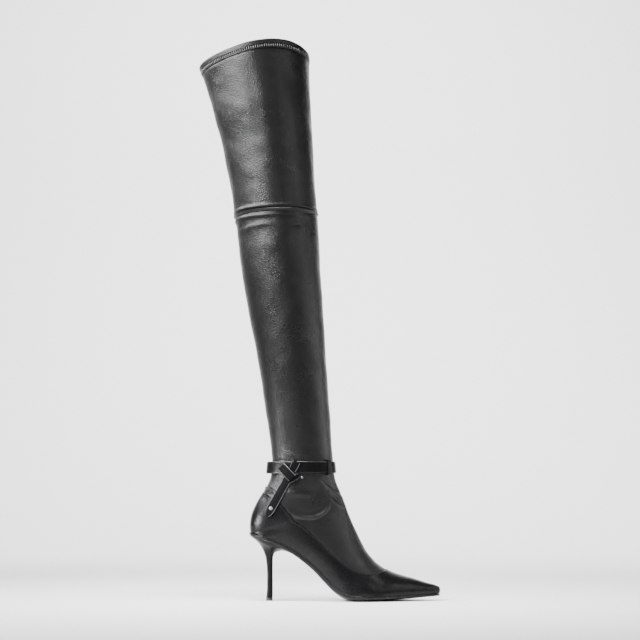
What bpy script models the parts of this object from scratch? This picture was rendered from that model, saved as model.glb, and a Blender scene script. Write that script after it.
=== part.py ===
"""Thigh high boot with a stiletto heel, for the right foot, standing empty on its sole.

Metres. +X runs to the toe, +Y to the inner side of the leg and +Z up.
The origin is on the floor under the middle of the heel's tip.
"""
import math
from bisect import bisect_right
from collections import namedtuple

import bmesh
import bpy
from mathutils import Vector

# Foot and sole
FOOT_LENGTH = 0.2505        # heel back to toe tip along the feather line
HEEL_SETBACK = 0.0253       # from the heel back to the middle of the heel's tip
BALL_WIDTH = 0.0766         # feather line across the ball
SEAT_HEIGHT = 0.0840        # underside of the sole at the heel back
TOE_SPRING = 0.0061         # underside of the sole at the toe tip
EDGE_LIFT = 0.0034          # how far the sole's edge stands above its flat middle
INSTEP_RISE = 0.1172        # top of the instep above the feather line
SOLE_MARGIN = 0.0009        # sole edge outside the feather line
SOLE_BEVEL = 0.0015         # how far the underside draws in from the edge
SOLE_STEP = 0.42            # height of the bevel's upper corner, share of the edge
SOLE_FLAT = 0.5             # share of the underside that is flat across
SOLE_CURVE = 1.6            # how late the rest of it lifts to the edge
OUTSOLE_THICK = 0.0042
INSOLE_THICK = 0.0018

# Leg
BOOT_HEIGHT = 0.7475        # floor to the collar in front
KNEE_DEPTH = 0.1153         # front to back at the knee seam
ANKLE_WIDTH = 0.0640
COLLAR_WIDTH = 0.1330
COLLAR_LIFT = 0.0085        # how far the collar's sides stand above the line from back to front
COLLAR_BAND = 0.0120        # height of the folded band

# Leather and fits
WALL = 0.0016
FOOT_PROUD = 0.0005         # the foot's leather stands this far out from the shaft's
BAND_STEP = 0.0008          # the band stands this far out and in from the wall
KNEE_ROLL = 0.0021          # swell of the rolled edge under the knee seam
KNEE_ROLL_HEIGHT = 0.0085
ROLL_PEAK = 0.35            # shares of the roll's height: its fullest place, and its spread
ROLL_SPREAD = 0.55
GAP = 0.0003
SEAM_GAP = 0.0005           # along the foot's top line, where the edges slant
RIM = 0.0015                # a narrow row keeps a rim square to the leather
FEATHER_CLEAR = 0.0006      # the foot's edge stays clear of the sole

# Heel
HEEL_STEM = 0.0080          # front to back at the stem
HEEL_SEAT_WIDTH = 0.0500
HEEL_LIP = 0.0300           # how far the cover runs forward under the shank
HEEL_INSET = 0.0004         # from the edge of the sole's underside to the cover
HEEL_SQUARE = 0.75          # how full the heel's rings are: 1 is an ellipse
TIP_HEIGHT = 0.0034
TIP_LENGTH = 0.0088
TIP_WIDTH = 0.0096

# Ankle strap
STRAP_HEIGHT = 0.1755       # floor to the middle of the strap
STRAP_WIDTH = 0.0155
STRAP_THICK = 0.0024
STRAP_GAP = 0.0004
STRAP_SLACK = 0.0042        # how far the strap stands off behind the ankle
SLACK_START = 0.72          # where round the ankle it leaves the leather
STRAP_DIP = 0.0010          # the strap sags this far on the outer side
RIBBON_THICK = 0.0016       # the knotted strip
KEEPER_SIDE = 0.205         # where the keeper sits round the ankle, share of half a turn
KEEPER_REACH = 0.028
KEEPER_THICK = 0.0010
TAIL_STUD = 0.0027          # radii of the studs
KNOT_STUD = 0.0018
KNOT_STUD_X = 0.676         # by the knot, shares of the ankle width and of the strap's height
KNOT_STUD_Z = 0.920

# Steps of the meshes
AROUND = 22                 # faces of foot and shaft from the middle line to the back
THIGH_AROUND = 16
FOOT_ROWS = 8               # faces from the feather line to the top line
INSTEP_ROWS = 10            # faces from the top line to the ankle
EVEN_ROWS = 7               # rows over which the shaft's columns spread evenly
LEG_CROWD = 1.35            # how much closer its rows are over the ankle
LEG_ROWS = 9                # faces from the strap to the roll under the knee
LEG_STEP = 0.0300
SOLE_STEPS = 26
FEATHER_TOE = 12            # steps in which the feather line is measured
FEATHER_STEPS = 160

HEEL_BACK = -HEEL_SETBACK
TOE_TIP = HEEL_BACK + FOOT_LENGTH

# Feather line from above. along: share of the foot's length; outer, inner: shares of the ball width
Outline = namedtuple("Outline", "along outer inner")
OUTLINE = (
    Outline(0.000, 0.326, 0.326),
    Outline(0.097, 0.326, 0.326),
    Outline(0.216, 0.313, 0.302),
    Outline(0.323, 0.318, 0.276),
    Outline(0.423, 0.380, 0.326),
    Outline(0.502, 0.457, 0.431),
    Outline(0.574, 0.500, 0.490),
    Outline(0.637, 0.486, 0.509),
    Outline(0.701, 0.428, 0.486),
    Outline(0.773, 0.326, 0.420),
    Outline(0.844, 0.222, 0.333),
    Outline(0.912, 0.125, 0.238),
    Outline(0.968, 0.047, 0.136),
    Outline(1.000, 0.004, 0.080),
)
HEEL_ROUND = 0.097          # shares of the foot's length taken by the round ends
TOE_ROUND = 0.032
ARCH_LEAN = 0.9             # how far the collar's arch leans to the front
COLUMN_START = 0.75         # columns are followed up from here, share of the way to the heel's closing
FOLD_UNDER = 0.35           # how far a section turns in under itself before its belly is whole

# Underside of the sole. drop: share of the seat height; spring: share of the toe spring;
# lift: share of the edge lift; thick: share of the outsole's thickness
Sole = namedtuple("Sole", "along drop spring lift thick")
SOLE = (
    Sole(0.000, 1.000, 0.00, 0.00, 1.00),
    Sole(0.065, 0.954, 0.00, 0.00, 1.00),
    Sole(0.134, 0.876, 0.00, 0.00, 1.02),
    Sole(0.214, 0.747, 0.00, 0.05, 1.16),
    Sole(0.268, 0.634, 0.00, 0.10, 1.19),
    Sole(0.331, 0.475, 0.00, 0.20, 1.19),
    Sole(0.391, 0.288, 0.00, 0.36, 1.19),
    Sole(0.435, 0.154, 0.00, 0.55, 1.14),
    Sole(0.486, 0.047, 0.00, 0.86, 1.02),
    Sole(0.526, 0.010, 0.00, 1.00, 0.92),
    Sole(0.554, 0.000, 0.00, 1.00, 0.88),
    Sole(0.620, 0.000, 0.00, 1.00, 0.81),
    Sole(0.690, 0.000, 0.08, 0.98, 0.74),
    Sole(0.820, 0.000, 0.42, 0.80, 0.60),
    Sole(0.919, 0.000, 0.75, 0.46, 0.58),
    Sole(1.000, 0.000, 1.00, 0.14, 0.58),
)

# Sections over the foot, from one feather edge over the ridge to the other.
# top: where the ridge is along the foot; rise: ridge above the feather line, share of the instep rise;
# end: where the section meets the feather line; half: half width, share of the ball width;
# ridge: ridge's shift to the inner side, share of the ball width; taper: width lost towards the top;
# crest: how sharp the ridge is; heel: how blunt the back is; belly: depth of the widest place
Foot = namedtuple("Foot", "top rise end half ridge taper crest heel belly")
FOOT = (
    Foot(1.000, 0.000, 0.968, 0.092, 0.038, 0.48, 1.00, 1.00, 1.00),
    Foot(1.004, 0.036, 0.960, 0.101, 0.040, 0.36, 1.00, 1.00, 0.98),
    Foot(1.000, 0.067, 0.948, 0.118, 0.042, 0.22, 1.00, 1.00, 0.95),
    Foot(0.983, 0.087, 0.924, 0.149, 0.046, 0.10, 1.02, 1.00, 0.91),
    Foot(0.930, 0.122, 0.872, 0.213, 0.054, 0.00, 1.06, 1.00, 0.86),
    Foot(0.867, 0.170, 0.808, 0.305, 0.060, 0.00, 1.12, 1.00, 0.80),
    Foot(0.804, 0.211, 0.741, 0.396, 0.062, 0.00, 1.17, 1.00, 0.77),
    Foot(0.740, 0.264, 0.665, 0.484, 0.062, 0.00, 1.20, 1.00, 0.75),
    Foot(0.677, 0.344, 0.582, 0.508, 0.060, 0.00, 1.20, 1.00, 0.73),
    Foot(0.629, 0.452, 0.494, 0.470, 0.056, 0.00, 1.20, 1.00, 0.71),
    Foot(0.590, 0.590, 0.399, 0.424, 0.048, 0.00, 1.18, 0.98, 0.68),
    Foot(0.556, 0.738, 0.295, 0.396, 0.036, 0.00, 1.16, 0.95, 0.66),
    Foot(0.532, 0.848, 0.202, 0.380, 0.024, 0.00, 1.13, 0.92, 0.64),
    Foot(0.516, 0.922, 0.100, 0.382, 0.014, 0.00, 1.11, 0.88, 0.62),
    Foot(0.500, 1.000, 0.000, 0.394, 0.006, 0.00, 1.09, 0.83, 0.61),
)

# Rings of the leg. low, high: heights at the back and in front, shares of the boot's height;
# back, front: places along the foot, shares of the knee depth; half: half width, share of the ankle
# width low on the leg plus share of the collar width; lift: share of the collar's lift
Leg = namedtuple("Leg", "low high back front ankle collar lift crest heel belly")
LEG = (
    Leg(0.131, 0.180, -0.226, 0.840, 0.478, 0.000, 0.00, 1.08, 0.86, 0.60),
    Leg(0.148, 0.190, -0.213, 0.816, 0.480, 0.000, 0.00, 1.07, 0.92, 0.58),
    Leg(0.169, 0.201, -0.160, 0.790, 0.482, 0.000, 0.00, 1.06, 0.99, 0.56),
    Leg(0.190, 0.211, -0.080, 0.766, 0.488, 0.000, 0.00, 1.05, 1.02, 0.54),
    Leg(0.210, 0.222, -0.008, 0.750, 0.492, 0.000, 0.00, 1.04, 1.04, 0.53),
    Leg(0.226, 0.233, 0.015, 0.741, 0.495, 0.000, 0.00, 1.04, 1.04, 0.52),
    Leg(0.245, 0.247, 0.025, 0.734, 0.500, 0.000, 0.00, 1.04, 1.04, 0.51),
    Leg(0.263, 0.264, 0.018, 0.725, 0.508, 0.000, 0.00, 1.04, 1.03, 0.51),
    Leg(0.298, 0.298, -0.014, 0.713, 0.430, 0.055, 0.00, 1.03, 1.01, 0.50),
    Leg(0.363, 0.363, -0.080, 0.684, 0.300, 0.142, 0.00, 1.02, 1.00, 0.50),
    Leg(0.451, 0.451, -0.178, 0.646, 0.180, 0.236, 0.00, 1.01, 0.98, 0.50),
    Leg(0.539, 0.539, -0.288, 0.610, 0.090, 0.312, 0.00, 1.00, 0.97, 0.50),
    Leg(0.608, 0.608, -0.365, 0.583, 0.030, 0.362, 0.00, 1.00, 0.97, 0.50),
    Leg(0.672, 0.673, -0.411, 0.562, 0.000, 0.392, 0.00, 1.00, 0.98, 0.50),
    Leg(0.694, 0.699, -0.436, 0.548, 0.000, 0.400, 0.00, 1.00, 0.98, 0.50),
    Leg(0.740, 0.742, -0.478, 0.528, 0.000, 0.412, 0.00, 1.00, 0.98, 0.50),
    Leg(0.785, 0.790, -0.534, 0.510, 0.000, 0.426, 0.00, 1.00, 0.98, 0.50),
    Leg(0.831, 0.838, -0.589, 0.492, 0.000, 0.441, 0.10, 1.00, 0.97, 0.50),
    Leg(0.877, 0.889, -0.676, 0.476, 0.000, 0.462, 0.35, 1.00, 0.96, 0.50),
    Leg(0.926, 0.950, -0.765, 0.455, 0.000, 0.483, 0.70, 1.00, 1.14, 0.50),
    Leg(0.977, 1.000, -0.878, 0.447, 0.000, 0.500, 1.00, 1.00, 1.24, 0.49),
)
KNEE_ROW = 14               # row of LEG at the knee seam

# Top line of the foot, from the middle of the vamp (run 0) round to the heel (run 1). place: share of the
# way from the toe to where the sections close round the heel; turn: degrees round the section, 0 on the
# ridge and 180 behind; ring: where the shaft's column from this point arrives under the strap
Topline = namedtuple("Topline", "run place turn ring")
TOPLINE = (
    Topline(0.000, 0.362, 0.0, 0.000),
    Topline(0.040, 0.368, 20.5, 0.022),
    Topline(0.079, 0.392, 38.5, 0.044),
    Topline(0.151, 0.440, 57.5, 0.084),
    Topline(0.209, 0.491, 68.3, 0.115),
    Topline(0.292, 0.576, 77.5, 0.157),
    Topline(0.419, 0.690, 85.3, 0.215),
    Topline(0.490, 0.761, 87.2, 0.250),
    Topline(0.570, 0.848, 86.2, 0.295),
    Topline(0.624, 0.921, 85.0, 0.335),
    Topline(0.678, 0.992, 84.0, 0.400),
    Topline(0.743, 1.049, 89.2, 0.500),
    Topline(0.808, 1.102, 103.5, 0.600),
    Topline(0.873, 1.150, 126.0, 0.715),
    Topline(0.950, 1.189, 158.0, 0.880),
    Topline(1.000, 1.198, 180.0, 1.000),
)

# Heel, ring by ring. back, front: shares of the stem's length from the tip's middle; low, high: heights at
# the back and in front, shares of the seat height; half: half width, share of the seat width
Heel = namedtuple("Heel", "back front low high half")
HEEL = (
    Heel(-2.40, 2.30, 0.950, 0.776, 0.400),
    Heel(-1.78, 1.50, 0.892, 0.766, 0.300),
    Heel(-1.32, 1.00, 0.828, 0.752, 0.215),
    Heel(-0.99, 0.74, 0.762, 0.728, 0.160),
    Heel(-0.72, 0.58, 0.690, 0.680, 0.125),
    Heel(-0.56, 0.55, 0.615, 0.615, 0.108),
    Heel(-0.42, 0.54, 0.470, 0.470, 0.094),
    Heel(-0.40, 0.56, 0.300, 0.300, 0.090),
    Heel(-0.46, 0.57, 0.110, 0.110, 0.092),
)

# The knotted strip on the outer side, seen from that side. x: share of the ankle width; z: share of the
# strap's height; width: share of the strap's width; stand: off the leather, in strap thicknesses
Fold = namedtuple("Fold", "x z width stand")
TAIL = (
    Fold(0.385, 0.917, 0.70, 0.30),
    Fold(0.330, 0.880, 0.74, 0.38),
    Fold(0.243, 0.824, 0.76, 0.46),
    Fold(0.141, 0.758, 0.78, 0.56),
    Fold(0.040, 0.693, 0.76, 0.68),
    Fold(-0.024, 0.652, 0.62, 0.74),
    Fold(-0.050, 0.636, 0.32, 0.76),
)
KNOT_FOLD = (
    Fold(0.240, 1.003, 0.72, 1.75),
    Fold(0.285, 0.986, 0.76, 2.15),
    Fold(0.360, 0.957, 0.76, 2.25),
    Fold(0.435, 0.928, 0.76, 2.15),
    Fold(0.478, 0.911, 0.74, 2.05),
)
KNOT_LOOP = (
    Fold(0.566, 1.036, 0.66, 1.32),
    Fold(0.520, 1.003, 0.68, 1.32),
    Fold(0.470, 0.970, 0.64, 1.32),
)
KNOT_END = (
    Fold(0.390, 0.893, 0.55, 1.30),
    Fold(0.480, 0.909, 0.55, 1.25),
    Fold(0.570, 0.926, 0.50, 0.90),
    Fold(0.610, 0.934, 0.30, 0.60),
)

Section = namedtuple("Section", "front end centre half ridge taper crest heel belly lift wrap")


def flow(knots, values, at, steady=False):
    """A smooth curve through one column of a table; a steady one doesn't pass its own rows."""
    spot = min(max(bisect_right(knots, at) - 1, 0), len(knots) - 2)

    def rate(row):
        return (values[row + 1] - values[row]) / (knots[row + 1] - knots[row])

    def slope(row):
        if row == 0:
            return rate(0)
        if row == len(knots) - 1:
            return rate(row - 1)
        before, after = rate(row - 1), rate(row)
        if steady and before * after <= 0:
            return 0.0
        if steady:
            return 2 * before * after / (before + after)
        left = knots[row] - knots[row - 1]
        right = knots[row + 1] - knots[row]
        return (before * right + after * left) / (left + right)

    span = knots[spot + 1] - knots[spot]
    t = (at - knots[spot]) / span
    rise = values[spot + 1] - values[spot]
    start, stop = slope(spot) * span, slope(spot + 1) * span
    return values[spot] + t * (start + t * (3 * rise - 2 * start - stop + t * (start + stop - 2 * rise)))


def smooth_step(low, high, at):
    share = min(max((at - low) / (high - low), 0.0), 1.0)
    return share * share * (3 - 2 * share)


def column(table, name):
    return [getattr(row, name) for row in table]


def share_along(x):
    return min(max((x - HEEL_BACK) / FOOT_LENGTH, 0.0), 1.0)


def closing(share):
    """How far the outline has closed at its round ends: 1 along the foot, 0 at the very ends."""
    if share < HEEL_ROUND:
        return math.sqrt(max(1 - (1 - share / HEEL_ROUND) ** 2, 0.0))
    if share > 1 - TOE_ROUND:
        return math.sqrt(max(1 - ((share - 1 + TOE_ROUND) / TOE_ROUND) ** 2, 0.0))
    return 1.0


def outline_at(x):
    """Middle and half width of the feather line at x."""
    share = share_along(x)
    alongs = column(OUTLINE, "along")
    outer = flow(alongs, column(OUTLINE, "outer"), share) * BALL_WIDTH
    inner = flow(alongs, column(OUTLINE, "inner"), share) * BALL_WIDTH
    return (inner - outer) / 2, (inner + outer) / 2 * closing(share)


def sole_value(x, name):
    return flow(column(SOLE, "along"), column(SOLE, name), share_along(x), steady=True)


def sole_low(x):
    """Height of the sole's flat middle."""
    return sole_value(x, "drop") * SEAT_HEIGHT + sole_value(x, "spring") * TOE_SPRING


def sole_lift(x):
    return sole_value(x, "lift") * EDGE_LIFT


def sole_slope(x):
    step = 0.002
    ahead, behind = min(x + step, TOE_TIP), max(x - step, HEEL_BACK)
    return (sole_low(ahead) - sole_low(behind)) / (ahead - behind)


def sole_top(x):
    """Height of the sole's upper face."""
    upright = math.hypot(1.0, sole_slope(x))
    return sole_low(x) + sole_lift(x) + sole_value(x, "thick") * OUTSOLE_THICK * upright


def feather(x):
    """Height of the feather line, where upper and sole meet."""
    return sole_top(x) + GAP * math.hypot(1.0, sole_slope(x))


def end_place(share):
    """Place on the feather line; round the heel the places are evenly turned, not evenly spaced."""
    if share < HEEL_ROUND:
        share = HEEL_ROUND * (1 - math.cos(math.pi / 2 * share / HEEL_ROUND))
    return HEEL_BACK + share * FOOT_LENGTH


def foot_front(row):
    x = HEEL_BACK + row.top * FOOT_LENGTH
    return x, feather(min(x, TOE_TIP)) + row.rise * INSTEP_RISE


def leg_half(row):
    return row.ankle * ANKLE_WIDTH + row.collar * COLLAR_WIDTH


FRONTS = [foot_front(row) for row in FOOT]
FRONTS += [(row.front * KNEE_DEPTH, row.high * BOOT_HEIGHT) for row in LEG]
ENDS = [(end_place(row.end), feather(end_place(row.end))) for row in FOOT]
ENDS += [(row.back * KNEE_DEPTH, row.low * BOOT_HEIGHT) for row in LEG]
HALVES = [row.half * BALL_WIDTH for row in FOOT] + [leg_half(row) for row in LEG]
LAST_FOOT = len(FOOT) - 1


def row_knots():
    """A running length for the rows, so that crowded rows don't ripple."""
    knots = [0.0]
    for row in range(1, len(FRONTS)):
        step = math.dist(FRONTS[row], FRONTS[row - 1]) + math.dist(ENDS[row], ENDS[row - 1])
        knots.append(knots[-1] + step / 2)
    return knots


KNOTS = row_knots()
HEEL_KNOT = KNOTS[LAST_FOOT]
KNEE_KNOT = KNOTS[LAST_FOOT + 1 + KNEE_ROW]
TOP_KNOT = KNOTS[-1]


def joined(name, rest):
    """One column over foot and leg; rest gives the leg's values."""
    return column(FOOT, name) + rest


RIDGES = joined("ridge", [0.0] * len(LEG))
TAPERS = joined("taper", [0.0] * len(LEG))
CRESTS = joined("crest", column(LEG, "crest"))
HEELS = joined("heel", column(LEG, "heel"))
BELLIES = joined("belly", column(LEG, "belly"))
LIFTS = [0.0] * len(FOOT) + column(LEG, "lift")


def section_at(place):
    """Everything that shapes the section at one place between toe and collar."""
    front = tuple(flow(KNOTS, [point[axis] for point in FRONTS], place) for axis in (0, 1))
    half = flow(KNOTS, HALVES, place)
    heel = flow(KNOTS, HEELS, place)
    if place < HEEL_KNOT:
        share = flow(KNOTS[:len(FOOT)], column(FOOT, "end"), place, steady=True)
        x = end_place(share)
        end = (x, feather(x))
        centre, reach = outline_at(x)
        half = max(half, reach)
        wrap = math.pi - math.asin(min((reach / half) ** (1 / heel), 1.0))
    else:
        knots, ends = KNOTS[LAST_FOOT:], ENDS[LAST_FOOT:]
        end = tuple(flow(knots, [point[axis] for point in ends], place) for axis in (0, 1))
        centre, wrap = 0.0, math.pi
    return Section(
        front, end, centre, half, flow(KNOTS, RIDGES, place) * BALL_WIDTH,
        flow(KNOTS, TAPERS, place, steady=True), flow(KNOTS, CRESTS, place), heel,
        flow(KNOTS, BELLIES, place), flow(KNOTS, LIFTS, place) * COLLAR_LIFT, wrap)


def section_point(section, side, swell=0.0):
    """A point of a section: side runs from -1 behind, over the outer side and the front, to 1 behind."""
    turn = min(abs(side) * math.pi, section.wrap)
    belly = 1 - (1 - section.belly) * smooth_step(0.0, FOLD_UNDER, -math.cos(section.wrap))
    if turn <= math.pi / 2:
        depth = belly * (1 - math.cos(turn))
        round_ = section.crest
    else:
        depth = belly + (1 - belly) * math.cos(turn) / math.cos(section.wrap)
        round_ = section.heel
    reach = math.dist(section.front, section.end)
    ahead = [(section.front[axis] - section.end[axis]) / reach for axis in (0, 1)]
    front = [section.front[axis] + ahead[axis] * swell for axis in (0, 1)]
    end = [section.end[axis] - ahead[axis] * swell for axis in (0, 1)]
    width = (section.half * (1 - section.taper * (1 - depth)) + swell) * max(math.sin(turn), 0.0) ** round_
    y = section.ridge * (1 - depth) + section.centre * depth + math.copysign(width, side)
    x, z = (front[axis] * (1 - depth) + end[axis] * depth for axis in (0, 1))
    arch = math.sin(turn) ** 2 * (1 + ARCH_LEAN * math.cos(turn))
    return Vector((x, y, z + section.lift * arch))


def places_between(low, high, step):
    count = max(1, round((high - low) / step))
    return [low + (high - low) * part / count for part in range(count + 1)]


def material(name, colour, roughness, metallic=0.0):
    made = bpy.data.materials.new(name)
    made.use_nodes = True
    shader = made.node_tree.nodes["Principled BSDF"]
    shader.inputs["Base Color"].default_value = (*colour, 1.0)
    shader.inputs["Roughness"].default_value = roughness
    shader.inputs["Metallic"].default_value = metallic
    made.diffuse_color = (*colour, 1.0)
    return made


def add_object(name, bm, finish, collection):
    bmesh.ops.remove_doubles(bm, verts=bm.verts, dist=0.000001)
    mesh = bpy.data.meshes.new(name)
    bm.to_mesh(mesh)
    bm.free()
    piece = bpy.data.objects.new(name, mesh)
    piece.data.materials.append(finish)
    collection.objects.link(piece)
    mesh.shade_smooth()
    mesh.set_sharp_from_angle(angle=math.radians(40))
    return piece


def sheet(rows):
    """An open sheet of faces between rows of points."""
    bm = bmesh.new()
    grid = [[bm.verts.new(point) for point in row] for row in rows]
    for lower, upper in zip(grid, grid[1:]):
        for index in range(len(lower) - 1):
            bm.faces.new((lower[index], lower[index + 1], upper[index + 1], upper[index]))
    return bm


def solidify(piece, thickness, offset):
    wall = piece.modifiers.new("Wall", "SOLIDIFY")
    wall.thickness = thickness
    wall.offset = offset
    wall.use_even_offset = False
    wall.use_quality_normals = True
    return wall


def stand_off(piece, distance):
    """Moves a sheet out along its normals."""
    move = piece.modifiers.new("Stand off", "DISPLACE")
    move.strength = distance
    move.mid_level = 0.0


def sides(count):
    return [part / count for part in range(-count, count + 1)]


def shaft_rows(places, swell, count):
    rows = []
    for place in places:
        section = section_at(place)
        rows.append([section_point(section, side, swell(place)) for side in sides(count)])
    return rows


def knee_swell(place):
    """The rolled edge under the knee seam."""
    below = (KNEE_KNOT - place) / KNEE_ROLL_HEIGHT
    return KNEE_ROLL * math.exp(-((below - ROLL_PEAK) / ROLL_SPREAD) ** 2)


def spread(part, count, crowd=0.7):
    """Even steps drawn towards both ends."""
    share = part / count
    return (1 - crowd) * share + crowd * (1 - math.cos(math.pi * share)) / 2


def topline_point(run):
    """Place and side of the top line of the foot; run goes from -1 behind over the vamp (0) to 1 behind."""
    runs = column(TOPLINE, "run")
    side = flow(runs, column(TOPLINE, "turn"), abs(run), steady=True) / 180
    return flow(runs, column(TOPLINE, "place"), abs(run)) * HEEL_KNOT, math.copysign(side, run)


def ring_at(run):
    """Side under the strap of the column that starts on the top line at a run."""
    return math.copysign(flow(column(TOPLINE, "run"), column(TOPLINE, "ring"), abs(run), steady=True), run)


def feather_params():
    """Place and side along half the feather line, from the toe tip back to the heel, with its length."""
    tip = section_at(0.0).wrap / math.pi
    stops = [(0.0, tip * part / FEATHER_TOE) for part in range(FEATHER_TOE)]
    for part in range(FEATHER_STEPS + 1):
        place = HEEL_KNOT * part / FEATHER_STEPS
        stops.append((place, section_at(place).wrap / math.pi))
    points = [section_point(section_at(place), side) for place, side in stops]
    lengths = [0.0]
    for here, there in zip(points, points[1:]):
        lengths.append(lengths[-1] + (there - here).length)
    return stops, lengths


def feather_point(run, stops, lengths):
    """Place and side on the feather line at a run from -1 to 1, evenly by length."""
    reach = abs(run) * lengths[-1]
    spot = min(max(bisect_right(lengths, reach) - 1, 0), len(stops) - 2)
    share = (reach - lengths[spot]) / (lengths[spot + 1] - lengths[spot])
    here, there = stops[spot], stops[spot + 1]
    place, side = (here[axis] + share * (there[axis] - here[axis]) for axis in (0, 1))
    return place, math.copysign(side, run)


def columns():
    """Runs of the columns that foot and shaft share, from the back round the outer side to the back."""
    half = [spread(part, AROUND) for part in range(AROUND + 1)]
    return [-run for run in half[:0:-1]] + half


def make_upper(finish, collection):
    """Vamp and quarters in one hollow wall, from the feather line to the top line."""
    stops, lengths = feather_params()
    lifts = [step / FOOT_ROWS for step in range(FOOT_ROWS + 1)]
    rows = []
    for up in lifts:
        row = []
        for run in columns():
            low_place, low_side = feather_point(run, stops, lengths)
            high_place, high_side = topline_point(run)
            place = low_place + (high_place - low_place) * up
            side = low_side + (high_side - low_side) * up
            row.append(section_point(section_at(place), side))
        rows.append(row)
    rows[0] = drawn_back(rows[0], rows[1], FEATHER_CLEAR)
    rows.insert(-1, drawn_back(rows[-1], rows[-2], RIM))
    piece = add_object("upper", sheet(rows), finish, collection)
    stand_off(piece, FOOT_PROUD)
    solidify(piece, WALL + FOOT_PROUD, -1)
    return piece


def drawn_back(edge, inner, gap):
    """An edge moved towards an inner row, so that it clears its old line by a gap."""
    count = len(edge)
    moved = []
    for index, (point, target) in enumerate(zip(edge, inner)):
        ahead, behind = edge[min(index + 1, count - 1)], edge[max(index - 1, 0)]
        if index in (0, count - 1):
            ahead, behind = edge[1], edge[-2]
        along, up = (ahead - behind).normalized(), target - point
        moved.append(point + (up - along * up.dot(along)).normalized() * gap)
    return moved


def strap_level(side, share):
    """Height on the strap: share runs from 0 on its lower edge to 1 on its upper edge."""
    dip = STRAP_DIP * math.sin(math.pi * side) if side < 0 else 0.0
    return STRAP_HEIGHT + (share - 0.5) * STRAP_WIDTH + dip


def place_at(side, height):
    """The place under the knee where a column reaches a height."""
    low, high = HEEL_KNOT * COLUMN_START, KNEE_KNOT
    for _ in range(22):
        middle = (low + high) / 2
        if section_point(section_at(middle), side).z < height:
            low = middle
        else:
            high = middle
    return low


def leg_places(low, high):
    """Rows of the shaft from the strap to the roll under the knee, closer over the ankle."""
    return [low + (high - low) * (part / LEG_ROWS) ** LEG_CROWD for part in range(1, LEG_ROWS + 1)]


def make_shaft(finish, collection):
    """The lower leg in one hollow wall, from the foot's top line to the knee seam."""
    runs = columns()
    turned = [ring_at(run) for run in runs]
    starts = [place_at(side, strap_level(side, 0.0)) for side in turned]
    rows = []
    for up in [step / INSTEP_ROWS for step in range(INSTEP_ROWS + 1)]:
        row = []
        for run, ring_side, start in zip(runs, turned, starts):
            low_place, low_side = topline_point(run)
            place = low_place + (start - low_place) * up
            side = low_side + (ring_side - low_side) * (1 - (1 - up) ** 2)
            row.append(section_point(section_at(place), side))
        rows.append(row)
    rows[:1] = [drawn_back(rows[0], rows[1], reach) for reach in (SEAM_GAP, SEAM_GAP + RIM)]
    for share in (0.5, 1.0):
        ends = [place_at(side, strap_level(side, share)) for side in turned]
        rows.append([section_point(section_at(place), side) for place, side in zip(ends, turned)])
    roll_start = KNEE_KNOT - 2 * KNEE_ROLL_HEIGHT
    strap_top = max(ends)
    places = leg_places(strap_top, roll_start)
    places += places_between(roll_start, KNEE_KNOT, KNEE_ROLL_HEIGHT / 2)[1:]
    for index, place in enumerate(places):
        section = section_at(place)
        even = min((index + 1) / EVEN_ROWS, 1.0)
        spread_out = [old * (1 - even) + side * even for old, side in zip(turned, sides(AROUND))]
        rows.append([section_point(section, side, knee_swell(place)) for side in spread_out])
    piece = add_object("shaft", sheet(rows), finish, collection)
    solidify(piece, WALL, -1)
    return piece


def make_ankle_strap(finish, collection):
    """One closed ring on the shaft's own columns, standing off behind."""
    turned = [ring_at(run) for run in columns()]
    rows = []
    for share in (0.0, 0.5, 1.0):
        row = []
        for side in turned:
            stand = STRAP_GAP + STRAP_SLACK * smooth_step(SLACK_START, 1.0, abs(side))
            row.append(section_point(section_at(place_at(side, strap_level(side, share))), side, stand))
        rows.append(row)
    piece = add_object("ankle_strap", sheet(rows), finish, collection)
    solidify(piece, STRAP_THICK, 1)
    return piece


def outer_spot(x, z, stand):
    """The point over the outer side of the ankle that is at x and z, a distance off the leather."""
    low, high = 0.0, 1.0
    for _ in range(14):
        side = (low + high) / 2
        spot = section_point(section_at(place_at(-side, z)), -side, stand)
        if spot.x > x:
            low = side
        else:
            high = side
    return spot


def ribbon(name, stations, finish, collection, across=2):
    """A flat strip over the outer side: a row for each fold, and points across that bend with the leg."""
    rows = []
    for index, station in enumerate(stations):
        ahead, behind = stations[min(index + 1, len(stations) - 1)], stations[max(index - 1, 0)]
        along = Vector((ahead.x - behind.x, ahead.z - behind.z)).normalized()
        row = []
        for part in range(across + 1):
            aside = (part / across - 0.5) * station.width * STRAP_WIDTH
            x = station.x * ANKLE_WIDTH + along.y * aside
            z = station.z * STRAP_HEIGHT - along.x * aside
            row.append(outer_spot(x, z, station.stand * STRAP_THICK))
        rows.append(row)
    piece = add_object(name, sheet(rows), finish, collection)
    solidify(piece, RIBBON_THICK, 1)
    return piece


def make_keeper(finish, collection):
    """A narrow sleeve over the strap, down to the shaft above and below it."""
    out = STRAP_GAP + STRAP_THICK + GAP
    profile = ((-0.12, STRAP_GAP), (-0.05, out), (0.5, out), (1.05, out), (1.12, STRAP_GAP))
    rows = []
    for share, stand in profile:
        row = []
        for part in range(-1, 2):
            side = -(KEEPER_SIDE - part * KEEPER_REACH)
            row.append(section_point(section_at(place_at(side, strap_level(side, share))), side, stand))
        rows.append(row)
    piece = add_object("strap_keeper", sheet(rows), finish, collection)
    solidify(piece, KEEPER_THICK, 1)
    return piece


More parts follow.
